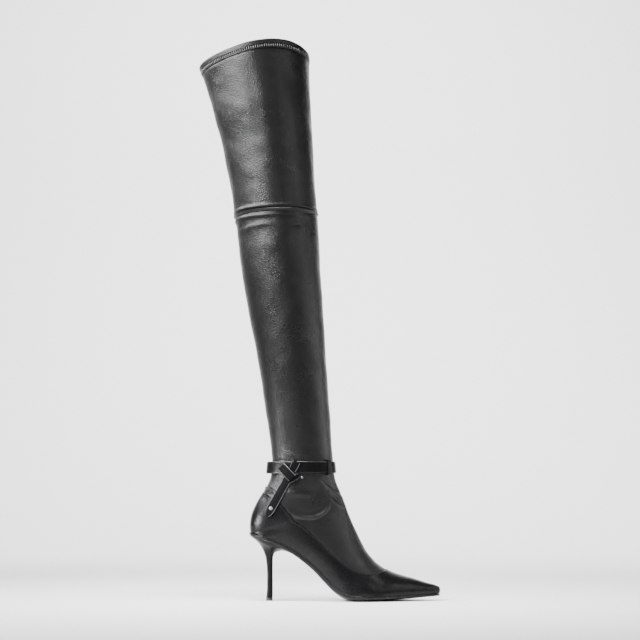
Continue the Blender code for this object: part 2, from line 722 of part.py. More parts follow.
def make_stud(name, x, z, stand, radius, finish, collection, count=10):
    """A low plain dome over the outer side, at shares of the ankle width and of the strap's height."""
    x, z = x * ANKLE_WIDTH, z * STRAP_HEIGHT
    foot = outer_spot(x, z, stand)
    lean = (outer_spot(x, z, stand + STRAP_THICK) - foot).normalized()
    aside = lean.cross(Vector((0, 0, 1))).normalized()
    up = aside.cross(lean)
    rings = []
    for share, rise in ((1.0, 0.0), (0.9, 0.3), (0.45, 0.6)):
        ring = []
        for part in range(count):
            turn = 2 * math.pi * part / count
            out = aside * math.cos(turn) + up * math.sin(turn)
            ring.append(foot + out * radius * share + lean * rise * radius)
        rings.append(ring)
    bm = bmesh.new()
    loft(bm, rings)
    return add_object(name, bm, finish, collection)


def band_place(gap=0.0):
    return TOP_KNOT - COLLAR_BAND - gap


def make_thigh_shaft(finish, collection):
    places = places_between(KNEE_KNOT + GAP, band_place(GAP), LEG_STEP)
    rows = shaft_rows(places, lambda place: 0.0, THIGH_AROUND)
    piece = add_object("thigh_shaft", sheet(rows), finish, collection)
    solidify(piece, WALL, -1)
    return piece


def make_collar_band(finish, collection):
    low = band_place()
    edge = COLLAR_BAND * 0.12
    places = [low, low + edge, (low + TOP_KNOT) / 2, TOP_KNOT - edge, TOP_KNOT]
    swells = dict(zip(places, (0.5, 1.0, 1.0, 1.0, 0.4)))
    rows = shaft_rows(places, lambda place: swells[place] * BAND_STEP, THIGH_AROUND)
    piece = add_object("collar_band", sheet(rows), finish, collection)
    solidify(piece, WALL + BAND_STEP, -1)
    return piece


def sole_stations(count):
    """Places along the foot, crowded at the round ends."""
    heel = [HEEL_ROUND * (1 - math.cos(math.pi / 2 * part / 6)) for part in range(6)]
    toe = [1 - TOE_ROUND * (1 - math.cos(math.pi / 2 * part / 5)) for part in range(5)]
    run = [HEEL_ROUND + (1 - TOE_ROUND - HEEL_ROUND) * part / count for part in range(count + 1)]
    return [HEEL_BACK + share * FOOT_LENGTH for share in heel + run + toe[-2::-1]]


def edge_point(x, side, margin):
    """A point of the outline at x, moved out by a margin along the outline's own normal."""
    step = FOOT_LENGTH * 0.0008

    def spot(place):
        centre, half = outline_at(place)
        return centre + side * half

    if x <= HEEL_BACK + step / 4:
        return Vector((x - margin, outline_at(x)[0]))
    if x >= TOE_TIP - step / 4:
        return Vector((x + margin, outline_at(x)[0]))
    ahead, behind = min(x + step, TOE_TIP), max(x - step, HEEL_BACK)
    along = Vector((ahead - behind, spot(ahead) - spot(behind))).normalized()
    out = Vector((-along.y, along.x)) * side
    return Vector((x, spot(x))) + out * margin


def inset_point(x, side, inset):
    """A point of the outline drawn in by an inset all round, its round ends kept."""
    share = (x - HEEL_BACK - inset) / (FOOT_LENGTH - 2 * inset)
    centre, half = outline_at(HEEL_BACK + share * FOOT_LENGTH)
    return Vector((x, centre + side * (half - inset * closing(share))))


def plate(name, stations, layers, finish, collection, across, spot=edge_point):
    """A sole from heel to toe: each layer of its edge is (margin, height); the first and last are faces."""
    bm = bmesh.new()
    loops = []
    for x in stations:
        loop = []
        for index, (margin, height) in enumerate(layers):
            outer, inner = spot(x, -1, margin), spot(x, 1, margin)
            flat = index in (0, len(layers) - 1)
            parts = [part / across for part in range(across + 1)] if flat else [0.0, 1.0]
            loop.append([(outer.lerp(inner, part), height, part) for part in parts])
        inner_edge = [entry[-1] for entry in loop[1:-1]]
        outer_edge = [entry[0] for entry in loop[-2:0:-1]]
        ring = loop[0] + inner_edge + loop[-1][::-1] + outer_edge
        loops.append([bm.verts.new((*point, height(x, part))) for point, height, part in ring])
    for here, there in zip(loops, loops[1:]):
        for index in range(len(here)):
            after = (index + 1) % len(here)
            bm.faces.new((here[index], there[index], there[after], here[after]))
    return add_object(name, bm, finish, collection)


def make_outsole(finish, collection):
    def top(x, part):
        return sole_top(x)

    def edge(x, part):
        low = sole_low(x) + sole_lift(x)
        return low + SOLE_STEP * (sole_top(x) - low)

    def bottom(x, part):
        """Flat in the middle, lifted towards the edges."""
        out = max(abs(2 * part - 1) - SOLE_FLAT, 0.0) / (1 - SOLE_FLAT)
        return sole_low(x) + sole_lift(x) * out ** SOLE_CURVE

    layers = ((SOLE_MARGIN, top), (SOLE_MARGIN, edge), (SOLE_MARGIN - SOLE_BEVEL, bottom))
    return plate("outsole", sole_stations(SOLE_STEPS), layers, finish, collection, across=6)


def make_insole(finish, collection):
    inset = WALL + 4 * GAP
    middle = [x for x in sole_stations(SOLE_STEPS) if HEEL_ROUND < share_along(x) < 1 - 2 * TOE_ROUND]
    back, tip = HEEL_BACK + inset, TOE_TIP - inset
    heel = [back + (middle[0] - back) * (1 - math.cos(math.pi / 2 * part / 5)) for part in range(5)]
    toe = [tip - (tip - middle[-1]) * (1 - math.cos(math.pi / 2 * part / 4)) for part in range(4)]

    def low(x, part):
        return feather(x)

    def high(x, part):
        return feather(x) + INSOLE_THICK * math.hypot(1.0, sole_slope(x))

    return plate(
        "insole", heel + middle + toe[::-1], ((inset, high), (inset, low)), finish, collection, across=3,
        spot=inset_point)


def heel_ring(back, front, low, high, half, count=18):
    """A ring of the heel: rounded behind, flat on its breast."""
    points = []
    for part in range(count):
        turn = 2 * math.pi * (part + 0.5) / count
        depth = (1 - math.cos(turn)) / 2
        width = half * math.copysign(abs(math.sin(turn)) ** HEEL_SQUARE, math.sin(turn))
        points.append(Vector((front + (back - front) * depth, width, high + (low - high) * depth)))
    return points


def heel_seat_ring(count=18):
    """The heel's top ring, on the underside of the sole."""
    margin = SOLE_MARGIN - SOLE_BEVEL - HEEL_INSET
    back = HEEL_BACK - margin
    middle = (HEEL_LIP + back) / 2
    ring = heel_ring(back, HEEL_LIP, 0.0, 0.0, HEEL_SEAT_WIDTH / 2, count)
    for point in ring:
        edge = edge_point(point.x, 1, margin).y
        width = edge if point.x < middle else min(abs(point.y), edge)
        point.y = math.copysign(width, point.y)
        point.z = sole_low(point.x) - GAP * math.hypot(1.0, sole_slope(point.x))
    return ring


def make_heel(finish, collection):
    bm = bmesh.new()
    rings = [heel_seat_ring()]
    for row in HEEL:
        rings.append(heel_ring(
            row.back * HEEL_STEM, row.front * HEEL_STEM, row.low * SEAT_HEIGHT, row.high * SEAT_HEIGHT,
            row.half * HEEL_SEAT_WIDTH))
    foot = TIP_HEIGHT + GAP
    rings.append(heel_ring(-TIP_LENGTH / 2, TIP_LENGTH / 2, foot, foot, TIP_WIDTH / 2))
    loft(bm, rings)
    return add_object("heel", bm, finish, collection)


def loft(bm, rings):
    """A closed body through rings that run from the top down."""
    made = [[bm.verts.new(point) for point in ring] for ring in rings]
    count = len(made[0])
    for above, below in zip(made, made[1:]):
        for index in range(count):
            after = (index + 1) % count
            bm.faces.new((above[index], above[after], below[after], below[index]))
    bm.faces.new(made[0][::-1])
    bm.faces.new(made[-1])
    bmesh.ops.recalc_face_normals(bm, faces=bm.faces)


def make_heel_tip(finish, collection):
    bm = bmesh.new()
    rings = [heel_ring(-TIP_LENGTH / 2, TIP_LENGTH / 2, z, z, TIP_WIDTH / 2) for z in (TIP_HEIGHT, 0.0)]
    loft(bm, rings)
    return add_object("heel_tip", bm, finish, collection)


def clear_scene():
    for item in list(bpy.data.objects):
        bpy.data.objects.remove(item)


def main():
    clear_scene()
    collection = bpy.data.collections.new("thigh_high_boot")
    bpy.context.scene.collection.children.link(collection)
    make_upper(material("foot_leather", (0.022, 0.022, 0.024), 0.36), collection)
    make_shaft(material("shaft_leather", (0.030, 0.030, 0.032), 0.48), collection)
    make_thigh_shaft(material("thigh_leather", (0.032, 0.032, 0.034), 0.50), collection)
    make_collar_band(material("band_leather", (0.026, 0.026, 0.028), 0.45), collection)
    make_outsole(material("sole_leather", (0.030, 0.029, 0.029), 0.40), collection)
    make_insole(material("insole_board", (0.050, 0.047, 0.044), 0.70), collection)
    make_heel(material("heel_cover", (0.022, 0.022, 0.024), 0.34), collection)
    make_heel_tip(material("heel_rubber", (0.020, 0.020, 0.020), 0.60), collection)
    strap_finish = material("strap_leather", (0.016, 0.016, 0.018), 0.28)
    make_ankle_strap(strap_finish, collection)
    make_keeper(strap_finish, collection)
    ribbon("strap_tail", TAIL, strap_finish, collection)
    ribbon("knot_fold", KNOT_FOLD, strap_finish, collection)
    ribbon("knot_loop", KNOT_LOOP, strap_finish, collection)
    ribbon("knot_end", KNOT_END, strap_finish, collection)
    stud_finish = material("stud_metal", (0.32, 0.31, 0.30), 0.30, 1.0)
    tail_end = TAIL[-3]
    tail_top = tail_end.stand * STRAP_THICK + RIBBON_THICK + 4 * GAP
    make_stud("tail_stud", tail_end.x, tail_end.z, tail_top, TAIL_STUD, stud_finish, collection)
    make_stud("knot_stud", KNOT_STUD_X, KNOT_STUD_Z, 2 * GAP, KNOT_STUD, stud_finish, collection)


main()
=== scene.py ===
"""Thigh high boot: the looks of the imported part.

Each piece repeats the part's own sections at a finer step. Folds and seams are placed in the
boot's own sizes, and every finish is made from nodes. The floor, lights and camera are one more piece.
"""
import math
from bisect import bisect_right
from collections import namedtuple

import bmesh
import bpy
import numpy as np
from mathutils import Euler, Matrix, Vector


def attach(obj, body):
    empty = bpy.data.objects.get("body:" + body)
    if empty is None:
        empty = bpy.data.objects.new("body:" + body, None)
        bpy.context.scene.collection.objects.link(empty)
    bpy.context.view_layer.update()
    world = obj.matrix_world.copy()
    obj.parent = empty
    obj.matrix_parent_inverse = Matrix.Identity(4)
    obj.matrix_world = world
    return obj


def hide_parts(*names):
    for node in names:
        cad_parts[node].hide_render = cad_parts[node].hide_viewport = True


bl_info = {
    "name": "Thigh High Boot",
    "version": (1, 0, 0),
    "blender": (4, 5, 0),
    "location": "View3D > Sidebar > Boot",
    "description": "Builds the leather, seams, strap, sole and heel of a thigh high boot over its frame",
    "category": "Object",
}

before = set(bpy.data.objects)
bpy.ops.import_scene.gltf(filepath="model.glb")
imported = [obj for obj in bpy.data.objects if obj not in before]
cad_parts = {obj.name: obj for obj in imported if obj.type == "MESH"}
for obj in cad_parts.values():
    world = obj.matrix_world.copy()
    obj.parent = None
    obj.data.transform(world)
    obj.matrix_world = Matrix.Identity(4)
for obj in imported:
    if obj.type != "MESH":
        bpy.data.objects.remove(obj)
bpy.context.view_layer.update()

# Foot and sole
FOOT_LENGTH = 0.2505        # heel back to toe tip along the feather line
HEEL_SETBACK = 0.0253       # from the heel back to the middle of the heel's tip
BALL_WIDTH = 0.0766         # feather line across the ball
SEAT_HEIGHT = 0.0840        # underside of the sole at the heel back
TOE_SPRING = 0.0061         # underside of the sole at the toe tip
EDGE_LIFT = 0.0034          # how far the sole's edge stands above its flat middle
INSTEP_RISE = 0.1172        # top of the instep above the feather line
SOLE_MARGIN = 0.0009        # sole edge outside the feather line
SOLE_BEVEL = 0.0015         # how far the underside draws in from the edge
SOLE_FLAT = 0.5             # share of the underside that is flat across
SOLE_CURVE = 1.6            # how late the rest of it lifts to the edge
OUTSOLE_THICK = 0.0042

# Leg
BOOT_HEIGHT = 0.7475        # floor to the collar in front
KNEE_DEPTH = 0.1153         # front to back at the knee seam
ANKLE_WIDTH = 0.0640
COLLAR_WIDTH = 0.1330
COLLAR_LIFT = 0.0085        # how far the collar's sides stand above the line from back to front
COLLAR_BAND = 0.0120        # height of the folded band

# Leather and fits
WALL = 0.0016
FOOT_PROUD = 0.0005         # the foot's leather stands this far out from the shaft's
BAND_STEP = 0.0008          # the band stands this far out and in from the wall
GAP = 0.0003

# Heel
HEEL_STEM = 0.0080          # front to back at the stem
HEEL_SEAT_WIDTH = 0.0500
HEEL_LIP = 0.0300           # how far the cover runs forward under the shank
HEEL_INSET = 0.0004         # from the edge of the sole's underside to the cover
HEEL_SQUARE = 0.75          # how full the heel's rings are: 1 is an ellipse
TIP_HEIGHT = 0.0034
TIP_LENGTH = 0.0088
TIP_WIDTH = 0.0096

# Ankle strap
STRAP_HEIGHT = 0.1755       # floor to the middle of the strap
STRAP_WIDTH = 0.0155
STRAP_THICK = 0.0024
STRAP_GAP = 0.0004
STRAP_SLACK = 0.0042        # how far the strap stands off behind the ankle
SLACK_START = 0.72          # where round the ankle it leaves the leather
STRAP_DIP = 0.0010          # the strap sags this far on the outer side
RIBBON_THICK = 0.0016       # the knotted strip
KEEPER_SIDE = 0.205         # where the keeper sits round the ankle, share of half a turn
KEEPER_REACH = 0.028
KEEPER_THICK = 0.0010
TAIL_STUD = 0.0027          # radii of the studs
KNOT_STUD = 0.0018
KNOT_STUD_X = 0.676         # by the knot, shares of the ankle width and of the strap's height
KNOT_STUD_Z = 0.920

# Steps of the meshes
FEATHER_TOE = 12            # steps in which the feather line is measured
FEATHER_STEPS = 160

HEEL_BACK = -HEEL_SETBACK
TOE_TIP = HEEL_BACK + FOOT_LENGTH

# Feather line from above. along: share of the foot's length; outer, inner: shares of the ball width
Outline = namedtuple("Outline", "along outer inner")
OUTLINE = (
    Outline(0.000, 0.326, 0.326),
    Outline(0.097, 0.326, 0.326),
    Outline(0.216, 0.313, 0.302),
    Outline(0.323, 0.318, 0.276),
    Outline(0.423, 0.380, 0.326),
    Outline(0.502, 0.457, 0.431),
    Outline(0.574, 0.500, 0.490),
    Outline(0.637, 0.486, 0.509),
    Outline(0.701, 0.428, 0.486),
    Outline(0.773, 0.326, 0.420),
    Outline(0.844, 0.222, 0.333),
    Outline(0.912, 0.125, 0.238),
    Outline(0.968, 0.047, 0.136),
    Outline(1.000, 0.004, 0.080),
)
HEEL_ROUND = 0.097          # shares of the foot's length taken by the round ends
TOE_ROUND = 0.032
ARCH_LEAN = 0.9             # how far the collar's arch leans to the front
COLUMN_START = 0.75         # columns are followed up from here, share of the way to the heel's closing
FOLD_UNDER = 0.35           # how far a section turns in under itself before its belly is whole

# Underside of the sole. drop: share of the seat height; spring: share of the toe spring;
# lift: share of the edge lift; thick: share of the outsole's thickness
Sole = namedtuple("Sole", "along drop spring lift thick")
SOLE = (
    Sole(0.000, 1.000, 0.00, 0.00, 1.00),
    Sole(0.065, 0.954, 0.00, 0.00, 1.00),
    Sole(0.134, 0.876, 0.00, 0.00, 1.02),
    Sole(0.214, 0.747, 0.00, 0.05, 1.16),
    Sole(0.268, 0.634, 0.00, 0.10, 1.19),
    Sole(0.331, 0.475, 0.00, 0.20, 1.19),
    Sole(0.391, 0.288, 0.00, 0.36, 1.19),
    Sole(0.435, 0.154, 0.00, 0.55, 1.14),
    Sole(0.486, 0.047, 0.00, 0.86, 1.02),
    Sole(0.526, 0.010, 0.00, 1.00, 0.92),
    Sole(0.554, 0.000, 0.00, 1.00, 0.88),
    Sole(0.620, 0.000, 0.00, 1.00, 0.81),
    Sole(0.690, 0.000, 0.08, 0.98, 0.74),
    Sole(0.820, 0.000, 0.42, 0.80, 0.60),
    Sole(0.919, 0.000, 0.75, 0.46, 0.58),
    Sole(1.000, 0.000, 1.00, 0.14, 0.58),
)

# Sections over the foot, from one feather edge over the ridge to the other.
# top: where the ridge is along the foot; rise: ridge above the feather line, share of the instep rise;
# end: where the section meets the feather line; half: half width, share of the ball width;
# ridge: ridge's shift to the inner side, share of the ball width; taper: width lost towards the top;
# crest: how sharp the ridge is; heel: how blunt the back is; belly: depth of the widest place
Foot = namedtuple("Foot", "top rise end half ridge taper crest heel belly")
FOOT = (
    Foot(1.000, 0.000, 0.968, 0.092, 0.038, 0.48, 1.00, 1.00, 1.00),
    Foot(1.004, 0.036, 0.960, 0.101, 0.040, 0.36, 1.00, 1.00, 0.98),
    Foot(1.000, 0.067, 0.948, 0.118, 0.042, 0.22, 1.00, 1.00, 0.95),
    Foot(0.983, 0.087, 0.924, 0.149, 0.046, 0.10, 1.02, 1.00, 0.91),
    Foot(0.930, 0.122, 0.872, 0.213, 0.054, 0.00, 1.06, 1.00, 0.86),
    Foot(0.867, 0.170, 0.808, 0.305, 0.060, 0.00, 1.12, 1.00, 0.80),
    Foot(0.804, 0.211, 0.741, 0.396, 0.062, 0.00, 1.17, 1.00, 0.77),
    Foot(0.740, 0.264, 0.665, 0.484, 0.062, 0.00, 1.20, 1.00, 0.75),
    Foot(0.677, 0.344, 0.582, 0.508, 0.060, 0.00, 1.20, 1.00, 0.73),
    Foot(0.629, 0.452, 0.494, 0.470, 0.056, 0.00, 1.20, 1.00, 0.71),
    Foot(0.590, 0.590, 0.399, 0.424, 0.048, 0.00, 1.18, 0.98, 0.68),
    Foot(0.556, 0.738, 0.295, 0.396, 0.036, 0.00, 1.16, 0.95, 0.66),
    Foot(0.532, 0.848, 0.202, 0.380, 0.024, 0.00, 1.13, 0.92, 0.64),
    Foot(0.516, 0.922, 0.100, 0.382, 0.014, 0.00, 1.11, 0.88, 0.62),
    Foot(0.500, 1.000, 0.000, 0.394, 0.006, 0.00, 1.09, 0.83, 0.61),
)

# Rings of the leg. low, high: heights at the back and in front, shares of the boot's height;
# back, front: places along the foot, shares of the knee depth; half: half width, share of the ankle
# width low on the leg plus share of the collar width; lift: share of the collar's lift
Leg = namedtuple("Leg", "low high back front ankle collar lift crest heel belly")
LEG = (
    Leg(0.131, 0.180, -0.226, 0.840, 0.478, 0.000, 0.00, 1.08, 0.86, 0.60),
    Leg(0.148, 0.190, -0.213, 0.816, 0.480, 0.000, 0.00, 1.07, 0.92, 0.58),
    Leg(0.169, 0.201, -0.160, 0.790, 0.482, 0.000, 0.00, 1.06, 0.99, 0.56),
    Leg(0.190, 0.211, -0.080, 0.766, 0.488, 0.000, 0.00, 1.05, 1.02, 0.54),
    Leg(0.210, 0.222, -0.008, 0.750, 0.492, 0.000, 0.00, 1.04, 1.04, 0.53),
    Leg(0.226, 0.233, 0.015, 0.741, 0.495, 0.000, 0.00, 1.04, 1.04, 0.52),
    Leg(0.245, 0.247, 0.025, 0.734, 0.500, 0.000, 0.00, 1.04, 1.04, 0.51),
    Leg(0.263, 0.264, 0.018, 0.725, 0.508, 0.000, 0.00, 1.04, 1.03, 0.51),
    Leg(0.298, 0.298, -0.014, 0.713, 0.430, 0.055, 0.00, 1.03, 1.01, 0.50),
    Leg(0.363, 0.363, -0.080, 0.684, 0.300, 0.142, 0.00, 1.02, 1.00, 0.50),
    Leg(0.451, 0.451, -0.178, 0.646, 0.180, 0.236, 0.00, 1.01, 0.98, 0.50),
    Leg(0.539, 0.539, -0.288, 0.610, 0.090, 0.312, 0.00, 1.00, 0.97, 0.50),
    Leg(0.608, 0.608, -0.365, 0.583, 0.030, 0.362, 0.00, 1.00, 0.97, 0.50),
    Leg(0.672, 0.673, -0.411, 0.562, 0.000, 0.392, 0.00, 1.00, 0.98, 0.50),
    Leg(0.694, 0.699, -0.436, 0.548, 0.000, 0.400, 0.00, 1.00, 0.98, 0.50),
    Leg(0.740, 0.742, -0.478, 0.528, 0.000, 0.412, 0.00, 1.00, 0.98, 0.50),
    Leg(0.785, 0.790, -0.534, 0.510, 0.000, 0.426, 0.00, 1.00, 0.98, 0.50),
    Leg(0.831, 0.838, -0.589, 0.492, 0.000, 0.441, 0.10, 1.00, 0.97, 0.50),
    Leg(0.877, 0.889, -0.676, 0.476, 0.000, 0.462, 0.35, 1.00, 0.96, 0.50),
    Leg(0.926, 0.950, -0.765, 0.455, 0.000, 0.483, 0.70, 1.00, 1.14, 0.50),
    Leg(0.977, 1.000, -0.878, 0.447, 0.000, 0.500, 1.00, 1.00, 1.24, 0.49),
)
KNEE_ROW = 14               # row of LEG at the knee seam

# Top line of the foot, from the middle of the vamp (run 0) round to the heel (run 1). place: share of the
# way from the toe to where the sections close round the heel; turn: degrees round the section, 0 on the
# ridge and 180 behind; ring: where the shaft's column from this point arrives under the strap
Topline = namedtuple("Topline", "run place turn ring")
TOPLINE = (
    Topline(0.000, 0.362, 0.0, 0.000),
    Topline(0.040, 0.368, 20.5, 0.022),
    Topline(0.079, 0.392, 38.5, 0.044),
    Topline(0.151, 0.440, 57.5, 0.084),
    Topline(0.209, 0.491, 68.3, 0.115),
    Topline(0.292, 0.576, 77.5, 0.157),
    Topline(0.419, 0.690, 85.3, 0.215),
    Topline(0.490, 0.761, 87.2, 0.250),
    Topline(0.570, 0.848, 86.2, 0.295),
    Topline(0.624, 0.921, 85.0, 0.335),
    Topline(0.678, 0.992, 84.0, 0.400),
    Topline(0.743, 1.049, 89.2, 0.500),
    Topline(0.808, 1.102, 103.5, 0.600),
    Topline(0.873, 1.150, 126.0, 0.715),
    Topline(0.950, 1.189, 158.0, 0.880),
    Topline(1.000, 1.198, 180.0, 1.000),
)

# Heel, ring by ring. back, front: shares of the stem's length from the tip's middle; low, high: heights at
# the back and in front, shares of the seat height; half: half width, share of the seat width
Heel = namedtuple("Heel", "back front low high half")
HEEL = (
    Heel(-2.40, 2.30, 0.950, 0.776, 0.400),
    Heel(-1.78, 1.50, 0.892, 0.766, 0.300),
    Heel(-1.32, 1.00, 0.828, 0.752, 0.215),
    Heel(-0.99, 0.74, 0.762, 0.728, 0.160),
    Heel(-0.72, 0.58, 0.690, 0.680, 0.125),
    Heel(-0.56, 0.55, 0.615, 0.615, 0.108),
    Heel(-0.42, 0.54, 0.470, 0.470, 0.094),
    Heel(-0.40, 0.56, 0.300, 0.300, 0.090),
    Heel(-0.46, 0.57, 0.110, 0.110, 0.092),
)

# The knotted strip on the outer side, seen from that side. x: share of the ankle width; z: share of the
# strap's height; width: share of the strap's width; stand: off the leather, in strap thicknesses
Fold = namedtuple("Fold", "x z width stand")
TAIL = (
    Fold(0.385, 0.917, 0.70, 0.30),
    Fold(0.330, 0.880, 0.74, 0.38),
    Fold(0.243, 0.824, 0.76, 0.46),
    Fold(0.141, 0.758, 0.78, 0.56),
    Fold(0.040, 0.693, 0.76, 0.68),
    Fold(-0.024, 0.652, 0.62, 0.74),
    Fold(-0.050, 0.636, 0.32, 0.76),
)
KNOT_FOLD = (
    Fold(0.240, 1.003, 0.72, 1.75),
    Fold(0.285, 0.986, 0.76, 2.15),
    Fold(0.360, 0.957, 0.76, 2.25),
    Fold(0.435, 0.928, 0.76, 2.15),
    Fold(0.478, 0.911, 0.74, 2.05),
)
KNOT_LOOP = (
    Fold(0.566, 1.036, 0.66, 1.32),
    Fold(0.520, 1.003, 0.68, 1.32),
    Fold(0.470, 0.970, 0.64, 1.32),
)
KNOT_END = (
    Fold(0.390, 0.893, 0.55, 1.30),
    Fold(0.480, 0.909, 0.55, 1.25),
    Fold(0.570, 0.926, 0.50, 0.90),
    Fold(0.610, 0.934, 0.30, 0.60),
)

Section = namedtuple("Section", "front end centre half ridge taper crest heel belly lift wrap")


def flow(knots, values, at, steady=False):
    """A smooth curve through one column of a table; a steady one doesn't pass its own rows."""
    spot = min(max(bisect_right(knots, at) - 1, 0), len(knots) - 2)

    def rate(row):
        return (values[row + 1] - values[row]) / (knots[row + 1] - knots[row])

    def slope(row):
        if row == 0:
            return rate(0)
        if row == len(knots) - 1:
            return rate(row - 1)
        before, after = rate(row - 1), rate(row)
        if steady and before * after <= 0:
            return 0.0
        if steady:
            return 2 * before * after / (before + after)
        left = knots[row] - knots[row - 1]
        right = knots[row + 1] - knots[row]
        return (before * right + after * left) / (left + right)

    span = knots[spot + 1] - knots[spot]
    t = (at - knots[spot]) / span
    rise = values[spot + 1] - values[spot]
    start, stop = slope(spot) * span, slope(spot + 1) * span
    return values[spot] + t * (start + t * (3 * rise - 2 * start - stop + t * (start + stop - 2 * rise)))


def smooth_step(low, high, at):
    share = min(max((at - low) / (high - low), 0.0), 1.0)
    return share * share * (3 - 2 * share)


def column(table, name):
    return [getattr(row, name) for row in table]


def share_along(x):
    return min(max((x - HEEL_BACK) / FOOT_LENGTH, 0.0), 1.0)


def closing(share):
    """How far the outline has closed at its round ends: 1 along the foot, 0 at the very ends."""
    if share < HEEL_ROUND:
        return math.sqrt(max(1 - (1 - share / HEEL_ROUND) ** 2, 0.0))
    if share > 1 - TOE_ROUND:
        return math.sqrt(max(1 - ((share - 1 + TOE_ROUND) / TOE_ROUND) ** 2, 0.0))
    return 1.0


def outline_at(x):
    """Middle and half width of the feather line at x."""
    share = share_along(x)
    alongs = column(OUTLINE, "along")
    outer = flow(alongs, column(OUTLINE, "outer"), share) * BALL_WIDTH
    inner = flow(alongs, column(OUTLINE, "inner"), share) * BALL_WIDTH
    return (inner - outer) / 2, (inner + outer) / 2 * closing(share)


def sole_value(x, name):
    return flow(column(SOLE, "along"), column(SOLE, name), share_along(x), steady=True)


def sole_low(x):
    """Height of the sole's flat middle."""
    return sole_value(x, "drop") * SEAT_HEIGHT + sole_value(x, "spring") * TOE_SPRING


def sole_lift(x):
    return sole_value(x, "lift") * EDGE_LIFT


def sole_slope(x):
    step = 0.002
    ahead, behind = min(x + step, TOE_TIP), max(x - step, HEEL_BACK)
    return (sole_low(ahead) - sole_low(behind)) / (ahead - behind)


def sole_top(x):
    """Height of the sole's upper face."""
    upright = math.hypot(1.0, sole_slope(x))
    return sole_low(x) + sole_lift(x) + sole_value(x, "thick") * OUTSOLE_THICK * upright


def feather(x):
    """Height of the feather line, where upper and sole meet."""
    return sole_top(x) + GAP * math.hypot(1.0, sole_slope(x))


def end_place(share):
    """Place on the feather line; round the heel the places are evenly turned, not evenly spaced."""
    if share < HEEL_ROUND:
        share = HEEL_ROUND * (1 - math.cos(math.pi / 2 * share / HEEL_ROUND))
    return HEEL_BACK + share * FOOT_LENGTH


def foot_front(row):
    x = HEEL_BACK + row.top * FOOT_LENGTH
    return x, feather(min(x, TOE_TIP)) + row.rise * INSTEP_RISE


def leg_half(row):
    return row.ankle * ANKLE_WIDTH + row.collar * COLLAR_WIDTH


FRONTS = [foot_front(row) for row in FOOT]
FRONTS += [(row.front * KNEE_DEPTH, row.high * BOOT_HEIGHT) for row in LEG]
ENDS = [(end_place(row.end), feather(end_place(row.end))) for row in FOOT]
ENDS += [(row.back * KNEE_DEPTH, row.low * BOOT_HEIGHT) for row in LEG]
HALVES = [row.half * BALL_WIDTH for row in FOOT] + [leg_half(row) for row in LEG]
LAST_FOOT = len(FOOT) - 1


def row_knots():
    """A running length for the rows, so that crowded rows don't ripple."""
    knots = [0.0]
    for row in range(1, len(FRONTS)):
        step = math.dist(FRONTS[row], FRONTS[row - 1]) + math.dist(ENDS[row], ENDS[row - 1])
        knots.append(knots[-1] + step / 2)
    return knots


KNOTS = row_knots()
HEEL_KNOT = KNOTS[LAST_FOOT]
KNEE_KNOT = KNOTS[LAST_FOOT + 1 + KNEE_ROW]
TOP_KNOT = KNOTS[-1]


def joined(name, rest):
    """One column over foot and leg; rest gives the leg's values."""
    return column(FOOT, name) + rest


RIDGES = joined("ridge", [0.0] * len(LEG))
TAPERS = joined("taper", [0.0] * len(LEG))
CRESTS = joined("crest", column(LEG, "crest"))
HEELS = joined("heel", column(LEG, "heel"))
BELLIES = joined("belly", column(LEG, "belly"))
LIFTS = [0.0] * len(FOOT) + column(LEG, "lift")


def section_at(place):
    """Everything that shapes the section at one place between toe and collar."""
    front = tuple(flow(KNOTS, [point[axis] for point in FRONTS], place) for axis in (0, 1))
    half = flow(KNOTS, HALVES, place)
    heel = flow(KNOTS, HEELS, place)
    if place < HEEL_KNOT:
        share = flow(KNOTS[:len(FOOT)], column(FOOT, "end"), place, steady=True)
        x = end_place(share)
        end = (x, feather(x))
        centre, reach = outline_at(x)
        half = max(half, reach)
        wrap = math.pi - math.asin(min((reach / half) ** (1 / heel), 1.0))
    else:
        knots, ends = KNOTS[LAST_FOOT:], ENDS[LAST_FOOT:]
        end = tuple(flow(knots, [point[axis] for point in ends], place) for axis in (0, 1))
        centre, wrap = 0.0, math.pi
    return Section(
        front, end, centre, half, flow(KNOTS, RIDGES, place) * BALL_WIDTH,
        flow(KNOTS, TAPERS, place, steady=True), flow(KNOTS, CRESTS, place), heel,
        flow(KNOTS, BELLIES, place), flow(KNOTS, LIFTS, place) * COLLAR_LIFT, wrap)


def section_point(section, side, swell=0.0):
    """A point of a section: side runs from -1 behind, over the outer side and the front, to 1 behind."""
    turn = min(abs(side) * math.pi, section.wrap)
    belly = 1 - (1 - section.belly) * smooth_step(0.0, FOLD_UNDER, -math.cos(section.wrap))
    if turn <= math.pi / 2:
        depth = belly * (1 - math.cos(turn))
        round_ = section.crest
    else:
        depth = belly + (1 - belly) * math.cos(turn) / math.cos(section.wrap)
        round_ = section.heel
    reach = math.dist(section.front, section.end)
    ahead = [(section.front[axis] - section.end[axis]) / reach for axis in (0, 1)]
    front = [section.front[axis] + ahead[axis] * swell for axis in (0, 1)]
    end = [section.end[axis] - ahead[axis] * swell for axis in (0, 1)]
    width = (section.half * (1 - section.taper * (1 - depth)) + swell) * max(math.sin(turn), 0.0) ** round_
    y = section.ridge * (1 - depth) + section.centre * depth + math.copysign(width, side)
    x, z = (front[axis] * (1 - depth) + end[axis] * depth for axis in (0, 1))
    arch = math.sin(turn) ** 2 * (1 + ARCH_LEAN * math.cos(turn))
    return Vector((x, y, z + section.lift * arch))


def spread(part, count, crowd=0.7):
    """Even steps drawn towards both ends."""
    share = part / count
    return (1 - crowd) * share + crowd * (1 - math.cos(math.pi * share)) / 2


